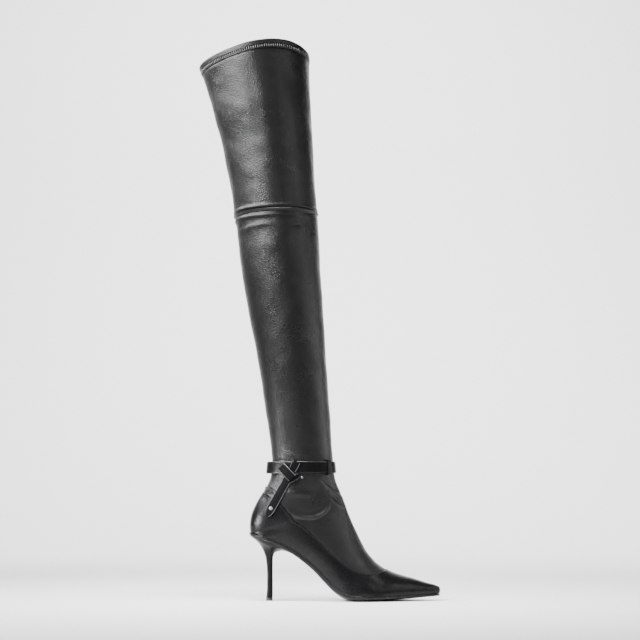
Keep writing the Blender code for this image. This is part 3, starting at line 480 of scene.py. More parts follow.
def topline_point(run):
    """Place and side of the top line of the foot; run goes from -1 behind over the vamp (0) to 1 behind."""
    runs = column(TOPLINE, "run")
    side = flow(runs, column(TOPLINE, "turn"), abs(run), steady=True) / 180
    return flow(runs, column(TOPLINE, "place"), abs(run)) * HEEL_KNOT, math.copysign(side, run)


def ring_at(run):
    """Side under the strap of the column that starts on the top line at a run."""
    return math.copysign(flow(column(TOPLINE, "run"), column(TOPLINE, "ring"), abs(run), steady=True), run)


def feather_params():
    """Place and side along half the feather line, from the toe tip back to the heel, with its length."""
    tip = section_at(0.0).wrap / math.pi
    stops = [(0.0, tip * part / FEATHER_TOE) for part in range(FEATHER_TOE)]
    for part in range(FEATHER_STEPS + 1):
        place = HEEL_KNOT * part / FEATHER_STEPS
        stops.append((place, section_at(place).wrap / math.pi))
    points = [section_point(section_at(place), side) for place, side in stops]
    lengths = [0.0]
    for here, there in zip(points, points[1:]):
        lengths.append(lengths[-1] + (there - here).length)
    return stops, lengths


def feather_point(run, stops, lengths):
    """Place and side on the feather line at a run from -1 to 1, evenly by length."""
    reach = abs(run) * lengths[-1]
    spot = min(max(bisect_right(lengths, reach) - 1, 0), len(stops) - 2)
    share = (reach - lengths[spot]) / (lengths[spot + 1] - lengths[spot])
    here, there = stops[spot], stops[spot + 1]
    place, side = (here[axis] + share * (there[axis] - here[axis]) for axis in (0, 1))
    return place, math.copysign(side, run)


def band_place(gap=0.0):
    return TOP_KNOT - COLLAR_BAND - gap


def edge_point(x, side, margin):
    """A point of the outline at x, moved out by a margin along the outline's own normal."""
    step = FOOT_LENGTH * 0.0008

    def spot(place):
        centre, half = outline_at(place)
        return centre + side * half

    if x <= HEEL_BACK + step / 4:
        return Vector((x - margin, outline_at(x)[0]))
    if x >= TOE_TIP - step / 4:
        return Vector((x + margin, outline_at(x)[0]))
    ahead, behind = min(x + step, TOE_TIP), max(x - step, HEEL_BACK)
    along = Vector((ahead - behind, spot(ahead) - spot(behind))).normalized()
    out = Vector((-along.y, along.x)) * side
    return Vector((x, spot(x))) + out * margin


def heel_ring(back, front, low, high, half, count=18):
    """A ring of the heel: rounded behind, flat on its breast."""
    points = []
    for part in range(count):
        turn = 2 * math.pi * (part + 0.5) / count
        depth = (1 - math.cos(turn)) / 2
        width = half * math.copysign(abs(math.sin(turn)) ** HEEL_SQUARE, math.sin(turn))
        points.append(Vector((front + (back - front) * depth, width, high + (low - high) * depth)))
    return points


def heel_seat_ring(count=18):
    """The heel's top ring, on the underside of the sole."""
    margin = SOLE_MARGIN - SOLE_BEVEL - HEEL_INSET
    back = HEEL_BACK - margin
    middle = (HEEL_LIP + back) / 2
    ring = heel_ring(back, HEEL_LIP, 0.0, 0.0, HEEL_SEAT_WIDTH / 2, count)
    for point in ring:
        edge = edge_point(point.x, 1, margin).y
        width = edge if point.x < middle else min(abs(point.y), edge)
        point.y = math.copysign(width, point.y)
        point.z = sole_low(point.x) - GAP * math.hypot(1.0, sole_slope(point.x))
    return ring


# Sections as arrays

FIELDS = ("centre", "half", "ridge", "taper", "crest", "heel", "belly", "lift", "wrap")


def dense_sections():
    """Every section's values at close places, so that whole grids are worked out at once."""
    near = [HEEL_KNOT * (1 - 0.5 ** part) for part in range(4, 18)]
    places = np.unique(np.concatenate([
        np.linspace(0, TOP_KNOT, 2200), np.array(near), HEEL_KNOT * np.linspace(0, 0.04, 60)]))
    rows = []
    for place in places:
        section = section_at(float(place))
        rows.append((*section.front, *section.end, *(getattr(section, name) for name in FIELDS)))
    return places, np.array(rows).T


PLACES, SECTION_ROWS = dense_sections()


def skin(place, side, swell=0.0):
    """Points of the leather's outer face for arrays of places and sides."""
    place, side = np.broadcast_arrays(np.asarray(place, float), np.asarray(side, float))
    fx, fz, ex, ez, centre, half, ridge, taper, crest, heel, belly, lift, wrap = (
        np.interp(place, PLACES, row) for row in SECTION_ROWS)
    turn = np.minimum(np.abs(side) * math.pi, wrap)
    cosine, low = np.cos(turn), np.minimum(np.cos(wrap), -1e-6)
    under = np.clip(-np.cos(wrap) / FOLD_UNDER, 0, 1)
    belly = 1 - (1 - belly) * under * under * (3 - 2 * under)
    over = turn <= math.pi / 2
    depth = np.where(over, belly * (1 - cosine), belly + (1 - belly) * cosine / low)
    power = np.where(over, crest, heel)
    reach = np.hypot(fx - ex, fz - ez)
    ax, az = (fx - ex) / reach, (fz - ez) / reach
    width = (half * (1 - taper * (1 - depth)) + swell) * np.maximum(np.sin(turn), 0.0) ** power
    y = ridge * (1 - depth) + centre * depth + np.where(side < 0, -width, width)
    x = (fx + ax * swell) * (1 - depth) + (ex - ax * swell) * depth
    z = (fz + az * swell) * (1 - depth) + (ez - az * swell) * depth
    arch = np.sin(turn) ** 2 * (1 + ARCH_LEAN * cosine)
    return np.stack([x, y, z + lift * arch], -1)


def places_at(side, height):
    """Places under the knee where the columns at an array of sides reach a height."""
    side = np.asarray(side, float)
    low, high = np.full(side.shape, HEEL_KNOT * COLUMN_START), np.full(side.shape, KNEE_KNOT)
    for _ in range(24):
        middle = (low + high) / 2
        below = skin(middle, side)[..., 2] < height
        low, high = np.where(below, middle, low), np.where(below, high, middle)
    return low


def grid_normals(grid, round_=True):
    """Normals of a grid of points whose columns run round, facing out of the leg."""
    up = np.gradient(grid, axis=0)
    if round_:
        along = np.roll(grid, -1, axis=1) - np.roll(grid, 1, axis=1)
    else:
        along = np.gradient(grid, axis=1)
    normal = np.cross(along, up)
    length = np.linalg.norm(normal, axis=-1, keepdims=True)
    return normal / np.maximum(length, 1e-12)


def bump_at(distance, width):
    """A soft ridge: 1 on its line, 0 from about two widths away."""
    return np.exp(-(distance / width) ** 2)


def line_distance(x, z, fold):
    """Distance in the side view from a bowed line, and how far along it a point lies."""
    x0, z0 = fold.x * FOOT_LENGTH, fold.z * FOOT_LENGTH
    x1, z1 = fold.to_x * FOOT_LENGTH, fold.to_z * FOOT_LENGTH
    length = math.hypot(x1 - x0, z1 - z0)
    ux, uz = (x1 - x0) / length, (z1 - z0) / length
    along = (x - x0) * ux + (z - z0) * uz
    aside = (z - z0) * ux - (x - x0) * uz
    share = np.clip(along / length, 0, 1)
    aside = aside - fold.bow * length * 4 * share * (1 - share)
    over = np.maximum(np.maximum(-along, along - length), 0)
    fade = np.sin(math.pi * np.clip(share, 0.02, 0.98)) ** 0.5
    return np.hypot(aside, over), fade, aside


def relief(points, folds):
    """How far each point stands out for the folds, by side view and by side of the leg."""
    x, y, z = points[..., 0], points[..., 1], points[..., 2]
    rise = np.zeros(x.shape)
    for fold in folds:
        distance, fade, aside = line_distance(x, z, fold)
        width = np.where(aside > 0, fold.width, fold.width * fold.fall) * FOOT_LENGTH
        side = np.clip(0.5 + 0.5 * fold.side * y / 0.006, 0, 1) if fold.side else 1.0
        rise += fold.depth * fade * bump_at(distance, width) * side
    return rise


def undulate(points, size, seed):
    """Slow unevenness of soft leather, from a few crossed waves."""
    rng = np.random.default_rng(seed)
    rise = np.zeros(points.shape[:-1])
    for _ in range(7):
        direction = rng.normal(size=3)
        direction *= rng.uniform(0.7, 1.6) * 2 * math.pi / size / np.linalg.norm(direction)
        rise += np.sin(points @ direction + rng.uniform(0, 2 * math.pi))
    return rise / 7


def mesh_piece(name, points, faces, finish, nodes=(), sharp=45):
    mesh = bpy.data.meshes.new(name)
    mesh.from_pydata([tuple(point) for point in points], [], faces)
    mesh.validate()
    piece = bpy.data.objects.new(name, mesh)
    bpy.context.scene.collection.objects.link(piece)
    mesh.materials.append(finish)
    mesh.shade_smooth()
    if sharp:
        mesh.set_sharp_from_angle(angle=math.radians(sharp))
    if nodes:
        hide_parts(*nodes)
    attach(piece, "root")
    return piece


def ring_faces(rows, columns, close_rows=True):
    """Faces of a grid that closes round its columns, and round its rows where asked."""
    index = np.arange(rows * columns).reshape(rows, columns)
    if close_rows:
        index = np.vstack([index, index[:1]])
    right = np.roll(index, -1, axis=1)
    quads = np.stack([index[:-1], right[:-1], right[1:], index[1:]], -1)
    return quads.reshape(-1, 4).tolist()


def wall(outer, inner_step, thick, rim=0.35):
    """Closes an outer grid with a coarser inner face and rounded rims."""
    normals = grid_normals(outer)
    down = outer[::-1][::inner_step]
    back = normals[::-1][::inner_step]
    if (len(outer) - 1) % inner_step:
        down, back = np.concatenate([down, outer[:1]]), np.concatenate([back, normals[:1]])
    inner = down - back * thick
    top, bottom = outer[-1], outer[0]
    lift = top - outer[-2]
    lift /= np.linalg.norm(lift, axis=-1, keepdims=True)
    drop = bottom - outer[1]
    drop /= np.linalg.norm(drop, axis=-1, keepdims=True)
    head = [top - normals[-1] * thick * share + lift * thick * rim * height for share, height in (
        (0.12, 0.62), (0.5, 1.0), (0.88, 0.62))]
    foot = [bottom - normals[0] * thick * share + drop * thick * rim * height for share, height in (
        (0.88, 0.62), (0.5, 1.0), (0.12, 0.62))]
    return np.concatenate([outer, np.array(head), inner, np.array(foot)])


def ring_piece(name, grid, finish, nodes):
    faces = ring_faces(*grid.shape[:2])
    return mesh_piece(name, grid.reshape(-1, 3), faces, finish, nodes=nodes, sharp=60)


# Folds and ridges one by one, seen from the side. x, z, to_x, to_z: ends of the line, shares of the foot's
# length from the heel's tip; bow: how far its middle is bent up; width: half width above the line; fall:
# width below it as a share of that; depth: height in metres, below 0 for a trough; side: -1 outer, 1 inner
Crease = namedtuple("Crease", "x z to_x to_z bow width fall depth side")
ANKLE_FOLDS = (
    Crease(0.268, 0.640, 0.392, 0.532, -0.06, 0.0085, 0.60, 0.00280, -1),
    Crease(0.296, 0.580, 0.388, 0.504, -0.04, 0.0060, 1.00, -0.00200, -1),
    Crease(0.318, 0.528, 0.372, 0.484, -0.05, 0.0044, 1.00, 0.00074, -1),
    Crease(0.085, 0.472, 0.262, 0.436, -0.10, 0.0105, 0.60, 0.00230, -1),
    Crease(0.240, 0.440, 0.318, 0.500, -0.14, 0.0095, 0.80, 0.00210, -1),
    Crease(0.080, 0.560, 0.215, 0.552, 0.04, 0.0167, 1.00, 0.00099, -1),
    Crease(-0.035, 0.594, 0.030, 0.574, 0.04, 0.0066, 0.70, 0.00220, -1),
    Crease(-0.036, 0.570, 0.028, 0.558, 0.04, 0.0050, 0.90, -0.00170, -1),
    Crease(-0.040, 0.560, 0.008, 0.500, 0.16, 0.0070, 0.80, 0.00200, -1),
    Crease(0.012, 0.772, 0.098, 0.742, -0.05, 0.0053, 0.80, 0.00115, -1),
    Crease(0.070, 0.784, 0.165, 0.748, -0.06, 0.0053, 0.80, 0.00099, -1),
    Crease(0.150, 0.770, 0.240, 0.752, 0.05, 0.0062, 0.80, 0.00066, -1),
    Crease(0.255, 0.610, 0.372, 0.520, -0.05, 0.0079, 0.80, 0.00148, 1),
    Crease(0.060, 0.500, 0.250, 0.455, -0.10, 0.0097, 0.80, 0.00132, 1),
    Crease(-0.038, 0.585, 0.040, 0.560, 0.04, 0.0062, 0.80, 0.00132, 1),
    Crease(0.030, 0.770, 0.150, 0.748, -0.05, 0.0062, 0.80, 0.00091, 1),
)
KNEE_FOLDS = (
    Crease(-0.178, 1.960, 0.020, 1.985, 0.05, 0.0150, 0.70, 0.00075, -1),
    Crease(0.130, 1.962, 0.190, 1.968, -0.06, 0.0070, 1.00, -0.00055, -1),
    Crease(0.120, 1.980, 0.195, 1.982, 0.05, 0.0070, 0.80, 0.00050, -1),
    Crease(-0.175, 1.950, 0.180, 1.960, 0.05, 0.0160, 0.80, 0.00060, 1),
    Crease(-0.120, 1.860, 0.060, 1.875, 0.03, 0.0360, 1.00, 0.00050, 0),
)
THIGH_FOLDS = (
    Crease(-0.330, 2.720, -0.180, 2.120, 0.02, 0.0550, 1.00, 0.00090, -1),
    Crease(-0.110, 2.860, -0.060, 2.240, 0.01, 0.0420, 1.00, -0.00070, -1),
    Crease(0.060, 2.840, 0.120, 2.300, -0.02, 0.0500, 1.00, 0.00080, -1),
    Crease(-0.250, 2.760, -0.120, 2.200, 0.02, 0.0550, 1.00, 0.00090, 1),
    Crease(0.040, 2.840, 0.090, 2.280, -0.02, 0.0500, 1.00, -0.00080, 1),
)


# Pieces as grids

EDGE_HIGHLIGHT_BAND = 0.00030      # width of the pale band along a strap's edge, a painted highlight
FOOT_BEAD = 0.00035         # height of the bead along the foot's top line
SEAM_DIP = 0.0009           # how far the leather draws in at the leg's seams
SOLE_GROOVE = 0.67          # height of the groove in the sole's edge, share of the edge

# Broad and short swells of the leather: height and length in metres
Wave = namedtuple("Wave", "height length seed")
FOOT_WAVES = (Wave(0.00035, 0.055, 3), Wave(0.00010, 0.022, 4))
SHAFT_WAVES = (Wave(0.00070, 0.060, 11), Wave(0.00026, 0.024, 12))
THIGH_WAVES = (Wave(0.00090, 0.065, 5), Wave(0.00036, 0.028, 6))


def swells(grid, waves):
    return sum(wave.height * undulate(grid, wave.length, wave.seed) for wave in waves)


def half_columns(count):
    """Runs of the columns, closer together at the front and the back."""
    half = [spread(part, count, 0.55) for part in range(count + 1)]
    return np.array([-run for run in half[:0:-1]] + half[:-1])


def topline(runs):
    """Places and sides of the foot's top line for an array of runs."""
    points = [topline_point(float(run)) for run in runs]
    return np.array([point[0] for point in points]), np.array([point[1] for point in points])


def rings(runs):
    """Sides under the strap for an array of runs."""
    return np.array([ring_at(float(run)) for run in runs])


def foot_grid(columns_count=150, rows_count=70):
    """Outer face of vamp and quarters, with the bead along its top line."""
    runs = half_columns(columns_count)
    stops, lengths = feather_params()
    lows = [feather_point(float(run), stops, lengths) for run in runs]
    low_place, low_side = (np.array([low[axis] for low in lows]) for axis in (0, 1))
    high_place, high_side = topline(runs)
    ups = np.concatenate([[0.0, 0.006], np.linspace(0.02, 0.94, rows_count - 8), np.linspace(0.955, 1.0, 6)])
    place = low_place + (high_place - low_place) * ups[:, None]
    side = low_side + (high_side - low_side) * ups[:, None]
    grid = skin(place, side)
    normals = grid_normals(grid)
    height = np.linalg.norm(grid - grid[:1], axis=-1)
    from_top = np.linalg.norm(grid - grid[-1:], axis=-1)
    rise = FOOT_PROUD + FOOT_BEAD * bump_at(from_top - 0.0012, 0.0009)
    rise = rise - 0.0003 * np.clip(1 - height / 0.0022, 0, 1) ** 2
    rise = rise + relief(grid, ANKLE_FOLDS) * 0.55 * np.clip(from_top / 0.006, 0, 1)
    soft = np.clip(from_top / 0.01, 0, 1) * np.clip(height / 0.012, 0, 1)
    rise = rise + swells(grid, FOOT_WAVES) * soft
    grid = grid + normals * rise[..., None]
    lift = grid[1] - grid[0]
    grid[0] += lift / np.linalg.norm(lift, axis=-1, keepdims=True) * 0.0004
    return grid


def knee_profile(below):
    """Lip, groove and soft second roll under the knee seam, by distance in metres."""
    lip = 0.0017 * bump_at(below - 0.0016, 0.0017)
    groove = -0.0002 * bump_at(below - 0.0058, 0.0020)
    roll = 0.0010 * bump_at(below - 0.0100, 0.0030)
    return lip + groove, roll


def shaft_grid(columns_count=125, low_rows=84, high_rows=96):
    """Outer face of the lower leg, from the foot's top line to the knee seam."""
    runs = half_columns(columns_count)
    turned = rings(runs)
    low_place, low_side = topline(runs)
    ankle = places_at(turned, STRAP_HEIGHT - STRAP_WIDTH / 2)
    ups = np.concatenate([[0.0, 0.004, 0.01], np.linspace(0.02, 1.0, low_rows)])[:, None]
    place = low_place + (ankle - low_place) * ups
    side = low_side + (turned - low_side) * (1 - (1 - ups) ** 2)
    roll_start = KNEE_KNOT - 0.026
    share = np.linspace(0, 1, high_rows + 1)[1:, None] ** 1.25
    upper_place = ankle + (roll_start - ankle) * share
    knee = np.linspace(roll_start, KNEE_KNOT, 34)[1:, None] + 0 * ankle
    place = np.concatenate([place, upper_place, knee])
    side = np.concatenate([
        side, np.broadcast_to(turned, upper_place.shape), np.broadcast_to(turned, knee.shape)])
    grid = skin(place, side)
    normals = grid_normals(grid)
    lip, roll = knee_profile(KNEE_KNOT - place)
    rear = np.clip(0.75 - 0.9 * np.cos(side * math.pi), 0.15, 1.0)
    from_seam = np.linalg.norm(grid - grid[:1], axis=-1)
    rise = lip + roll * rear
    rise = rise - SEAM_DIP * bump_at(KNEE_KNOT - place, 0.0008) - SEAM_DIP * bump_at(from_seam, 0.0011)
    rise = rise + relief(grid, ANKLE_FOLDS + KNEE_FOLDS) * np.clip(from_seam / 0.004, 0, 1)
    soft = np.clip(from_seam / 0.01, 0, 1)
    rise = rise + swells(grid, SHAFT_WAVES) * soft
    strap = grid[..., 2] - STRAP_HEIGHT
    under = np.clip(1.5 - np.abs(strap) / (STRAP_WIDTH / 2), 0, 1)
    rise = rise * (1 - 0.85 * np.clip(under * 2, 0, 1)) - 0.0002 * bump_at(strap, STRAP_WIDTH * 0.5)
    grid = grid + normals * rise[..., None]
    grid[0] += (grid[3] - grid[0]) * 0.12
    return grid


def thigh_grid(columns_count=220, rows_count=110):
    """Outer face from the knee seam to the collar band."""
    side = np.linspace(-1, 1, columns_count + 1)[:-1]
    low, high = KNEE_KNOT + GAP, band_place(GAP)
    place = np.concatenate([
        np.linspace(low, low + 0.012, 22), np.linspace(low + 0.012, high, rows_count)[1:]])[:, None]
    grid = skin(place, side)
    normals = grid_normals(grid)
    above = place - low
    rise = 0.0010 * bump_at(above - 0.0026, 0.0024) - 0.0010 * bump_at(above, 0.0009)
    soft = np.clip(above / 0.01, 0, 1)
    rise = rise + relief(grid, THIGH_FOLDS)
    rise = rise + swells(grid, THIGH_WAVES) * soft
    rise = rise - 0.0003 * bump_at(high - place, 0.0012)
    return grid + normals * rise[..., None]


def band_grid(columns_count=300):
    """The folded band: flat below, softly rounded over the top."""
    side = np.linspace(-1, 1, columns_count + 1)[:-1]
    shares = np.array([0.0, 0.02, 0.06, 0.14, 0.24, 0.36, 0.48, 0.60, 0.72, 0.82, 0.90, 0.95, 0.98])
    swell = np.array([0.60, 0.90, 1.0, 1.0, 0.98, 0.98, 1.0, 1.02, 1.02, 1.0, 0.92, 0.8, 0.6])
    low = band_place()
    place = (low + (TOP_KNOT - 0.0006 - low) * shares)[:, None]
    grid = skin(place, side, (swell * BAND_STEP)[:, None])
    normals = grid_normals(grid)
    wave = undulate(grid, 0.034, 21)
    grid = grid + normals * (0.00022 * wave * shares[:, None])[..., None]
    grid[..., 2] += 0.0005 * wave * shares[:, None]
    return grid


def across(stand, thick, width, steps=7, edge=0.32):
    """Cross-section of a strap: (aside, stand) points round it, crowned outside, with round edges."""
    soft = thick * edge
    half = width / 2
    # The outermost faces of the outer side are kept this narrow to carry the pale edge colour, a painted
    # highlight.
    inner = 1 - EDGE_HIGHLIGHT_BAND / half
    points = []
    for part in range(steps + 1):
        share = (part - 1) / (steps - 2) * 2 - 1 if 0 < part < steps else part / steps * 2 - 1
        share = share * inner if 0 < part < steps else share
        crown = 0.10 * thick * (1 - share * share)
        points.append((share * (half - soft), stand + thick + crown))
    for part in range(1, 4):
        turn = math.pi / 2 * part / 4
        points.append((half - soft + soft * math.sin(turn), stand + thick - soft + soft * math.cos(turn)))
    points += [(half, stand + thick - soft), (half, stand + soft * 0.6), (half - soft * 0.6, stand)]
    points += [(-half + soft * 0.6, stand), (-half, stand + soft * 0.6), (-half, stand + thick - soft)]
    for part in range(3, 0, -1):
        turn = math.pi / 2 * part / 4
        points.append((-half + soft - soft * math.sin(turn), stand + thick - soft + soft * math.cos(turn)))
    return points


def outer_spots(x, z, stand, sign=-1):
    """Points over the outer side of the ankle at arrays of x and z, each a distance off the leather."""
    x, z, stand = np.broadcast_arrays(x, z, stand)
    low, high = np.zeros(x.shape), np.ones(x.shape)
    for _ in range(15):
        side = (low + high) / 2
        spot = skin(places_at(sign * side, z), sign * side, stand)
        ahead = spot[..., 0] > x
        low, high = np.where(ahead, side, low), np.where(ahead, high, side)
    return spot


def strap_rise(side):
    """How far the strap stands off the leather: it hangs slack behind."""
    slack = [smooth_step(SLACK_START, 1.0, abs(float(value))) for value in side]
    return STRAP_GAP + STRAP_SLACK * np.array(slack)


def strap_grid(count=260):
    """The strap round the ankle: columns of its cross-section."""
    side = np.linspace(-1, 1, count + 1)[:-1]
    dip = np.where(side < 0, STRAP_DIP * np.sin(math.pi * side), 0.0)
    stand = strap_rise(side)
    columns = []
    for aside, height in across(0.0, STRAP_THICK, STRAP_WIDTH, steps=9):
        z = STRAP_HEIGHT + aside + dip
        columns.append(skin(places_at(side, z), side, stand + height))
    return np.array(columns)


def strip_grid(stations, width_unit, thick, steps_between=6, puff=0.0):
    """A flat strip along a table of folds: rows along it, each one a closed cross-section."""
    rows = []
    total = (len(stations) - 1) * steps_between
    knots = list(range(len(stations)))
    for step in range(total + 1):
        at = step / steps_between
        x, z, width, stand = (flow(knots, [getattr(row, name) for row in stations], at) for name in (
            "x", "z", "width", "stand"))
        near = max(at - 0.25, 0.0), min(at + 0.25, len(stations) - 1.0)
        dx = (flow(knots, column(stations, "x"), near[1]) - flow(knots, column(stations, "x"), near[0]))
        dz = (flow(knots, column(stations, "z"), near[1]) - flow(knots, column(stations, "z"), near[0]))
        along = Vector((dx * ANKLE_WIDTH, dz * STRAP_HEIGHT)).normalized()
        shape = np.array(across(stand * STRAP_THICK, thick, width * width_unit))
        px = x * ANKLE_WIDTH - along.y * shape[:, 0]
        pz = z * STRAP_HEIGHT + along.x * shape[:, 0]
        bulge = puff * math.sin(math.pi * step / total)
        top = (shape[:, 1] > stand * STRAP_THICK + thick * 0.5) * bulge
        rows.append((px, pz, shape[:, 1] + top))
    x, z, stand = (np.array([row[axis] for row in rows]) for axis in range(3))
    return outer_spots(x, z, stand)


def capped_faces(rows, columns):
    """A tube of closed cross-sections with its two ends closed."""
    faces = ring_faces(rows, columns, close_rows=False)
    faces.append(list(range(columns))[::-1])
    faces.append([(rows - 1) * columns + index for index in range(columns)])
    return faces


def edge_highlight_columns(top):
    """Which faces round a strap's cross-section get the pale edge colour, a painted highlight of the polished
    edge; top: points along its outer face.
    """
    return [0, top - 2, top - 1, top, top + 1, top + 2, top + 6, top + 7, top + 8, top + 9]


def give_painted_light_finish(piece, edge, faces):
    """Gives chosen faces a second finish: on straps the pale cut edges, a painted highlight; on the collar band
    a darker strip, a painted shade.
    """
    piece.data.materials.append(edge)
    for index in faces:
        piece.data.polygons[index].material_index = 1


def capped_piece(name, grid, finish, nodes, sharp):
    """A closed piece from rings of points, with both ends capped."""
    piece = mesh_piece(name, grid.reshape(-1, 3), capped_faces(*grid.shape[:2]), finish, nodes=nodes,
                       sharp=sharp)
    face_out(piece)
    return piece


def strip_piece(name, grid, finish, edge, nodes):
    """A flat strip whose cut edges get the pale edge colour, a painted highlight."""
    rows, columns = grid.shape[:2]
    piece = capped_piece(name, grid, finish, nodes, 50)
    rim = [row * columns + part for row in range(rows - 1) for part in edge_highlight_columns(8)]
    give_painted_light_finish(piece, edge, rim + [(rows - 1) * columns, (rows - 1) * columns + 1])
    return piece


def face_out(piece):
    """Turns every face of a closed piece outwards."""
    bm = bmesh.new()
    bm.from_mesh(piece.data)
    bmesh.ops.recalc_face_normals(bm, faces=bm.faces)
    bm.to_mesh(piece.data)
    bm.free()


def keeper_grid():
    """The stitched sleeve over the strap."""
    out = STRAP_GAP + STRAP_THICK + GAP
    profile = (
        (-0.135, STRAP_GAP), (-0.10, STRAP_GAP * 1.6), (-0.065, out * 0.70), (-0.03, out * 0.97), (0.06, out),
        (0.5, out + 0.0001), (0.94, out), (1.03, out * 0.97), (1.065, out * 0.70), (1.10, STRAP_GAP * 1.6),
        (1.135, STRAP_GAP))
    side = -np.linspace(KEEPER_SIDE + KEEPER_REACH, KEEPER_SIDE - KEEPER_REACH, 15)
    dip = STRAP_DIP * np.sin(math.pi * side)
    knots = list(range(len(profile)))
    rows = []
    for step in range((len(profile) - 1) * 3 + 1):
        share = flow(knots, [row[0] for row in profile], step / 3)
        stand = flow(knots, [row[1] for row in profile], step / 3)
        z = STRAP_HEIGHT + (share - 0.5) * STRAP_WIDTH + dip
        rows.append(skin(places_at(side, z), side, stand))
    return np.array(rows)


def sheet_piece(name, grid, thick, finish, nodes, bevel=0.0004):
    """An open grid given its thickness outwards and soft edges."""
    rows, columns = grid.shape[:2]
    index = np.arange(rows * columns).reshape(rows, columns)
    corners = (index[:-1, :-1], index[:-1, 1:], index[1:, 1:], index[1:, :-1])
    faces = np.stack(corners, -1).reshape(-1, 4).tolist()
    piece = mesh_piece(name, grid.reshape(-1, 3), faces, finish, nodes=nodes, sharp=0)
    add = piece.modifiers.new("Leather", "SOLIDIFY")
    add.thickness, add.offset = thick, 1
    soften = piece.modifiers.new("Edge", "BEVEL")
    soften.width, soften.segments = bevel, 2
    soften.limit_method, soften.angle_limit = "ANGLE", math.radians(50)
    return piece


def sole_profile(x):
    """The sole's edge from top to underside: (margin, height) pairs, with a groove between two layers."""
    low, top = sole_low(x) + sole_lift(x), sole_top(x)
    thick = top - low
    split = low + SOLE_GROOVE * thick
    return (
        (SOLE_MARGIN - 0.0002, top), (SOLE_MARGIN + 0.0001, top - 0.12 * thick),
        (SOLE_MARGIN + 0.0001, split + 0.06 * thick), (SOLE_MARGIN - 0.0004, split),
        (SOLE_MARGIN, split - 0.06 * thick), (SOLE_MARGIN + 0.0001, low + 0.44 * thick),
        (SOLE_MARGIN - 0.0002, low + 0.30 * thick), (SOLE_MARGIN - SOLE_BEVEL * 0.45, low + 0.10 * thick),
        (SOLE_MARGIN - SOLE_BEVEL, low))


def sole_mesh(steps=150, under=16):
    """Rings across the sole from heel to toe."""
    heel = [HEEL_ROUND * (1 - math.cos(math.pi / 2 * part / 16)) for part in range(16)]
    toe = [1 - TOE_ROUND * (1 - math.cos(math.pi / 2 * part / 10)) for part in range(10)]
    run = [HEEL_ROUND + (1 - TOE_ROUND - HEEL_ROUND) * part / steps for part in range(steps + 1)]
    loops = []
    for share in heel + run + toe[-2::-1]:
        x = HEEL_BACK + share * FOOT_LENGTH
        edge = sole_profile(x)
        outer = [(edge_point(x, -1, margin), height) for margin, height in edge]
        inner = [(edge_point(x, 1, margin), height) for margin, height in edge]
        low_outer, low_inner = outer[-1][0], inner[-1][0]
        bottom = []
        for part in range(1, under):
            mix = part / under
            out = max(abs(2 * mix - 1) - SOLE_FLAT, 0.0) / (1 - SOLE_FLAT)
            bottom.append((low_outer.lerp(low_inner, mix), sole_low(x) + sole_lift(x) * out ** SOLE_CURVE))
        loops.append([(*spot, height) for spot, height in outer + bottom + inner[::-1]])
    return np.array(loops)


def heel_grid(count=72, between=7):
    """Rings of the heel from its seat to its foot, drawn smoothly through the part's own rings."""
    base = [heel_seat_ring(count)]
    for row in HEEL:
        base.append(heel_ring(
            row.back * HEEL_STEM, row.front * HEEL_STEM, row.low * SEAT_HEIGHT, row.high * SEAT_HEIGHT,
            row.half * HEEL_SEAT_WIDTH, count))
    foot = TIP_HEIGHT + GAP
    base.append(heel_ring(-TIP_LENGTH / 2, TIP_LENGTH / 2, foot, foot, TIP_WIDTH / 2, count))
    base = np.array([[tuple(point) for point in ring] for ring in base])
    knots = [0.0]
    for here, there in zip(base, base[1:]):
        knots.append(knots[-1] + float(np.linalg.norm(there - here, axis=-1).mean()))
    out = []
    for row in range(len(base) - 1):
        for part in range(between):
            at = knots[row] + (knots[row + 1] - knots[row]) * part / between
            out.append(flow(knots, base, at))
    out.append(base[-1])
    return np.array(out)


# Finishes


def new_socket(group, name, kind, way, default=None):
    socket = group.interface.new_socket(name=name, in_out=way, socket_type=kind)
    if default is not None:
        socket.default_value = default
    return socket


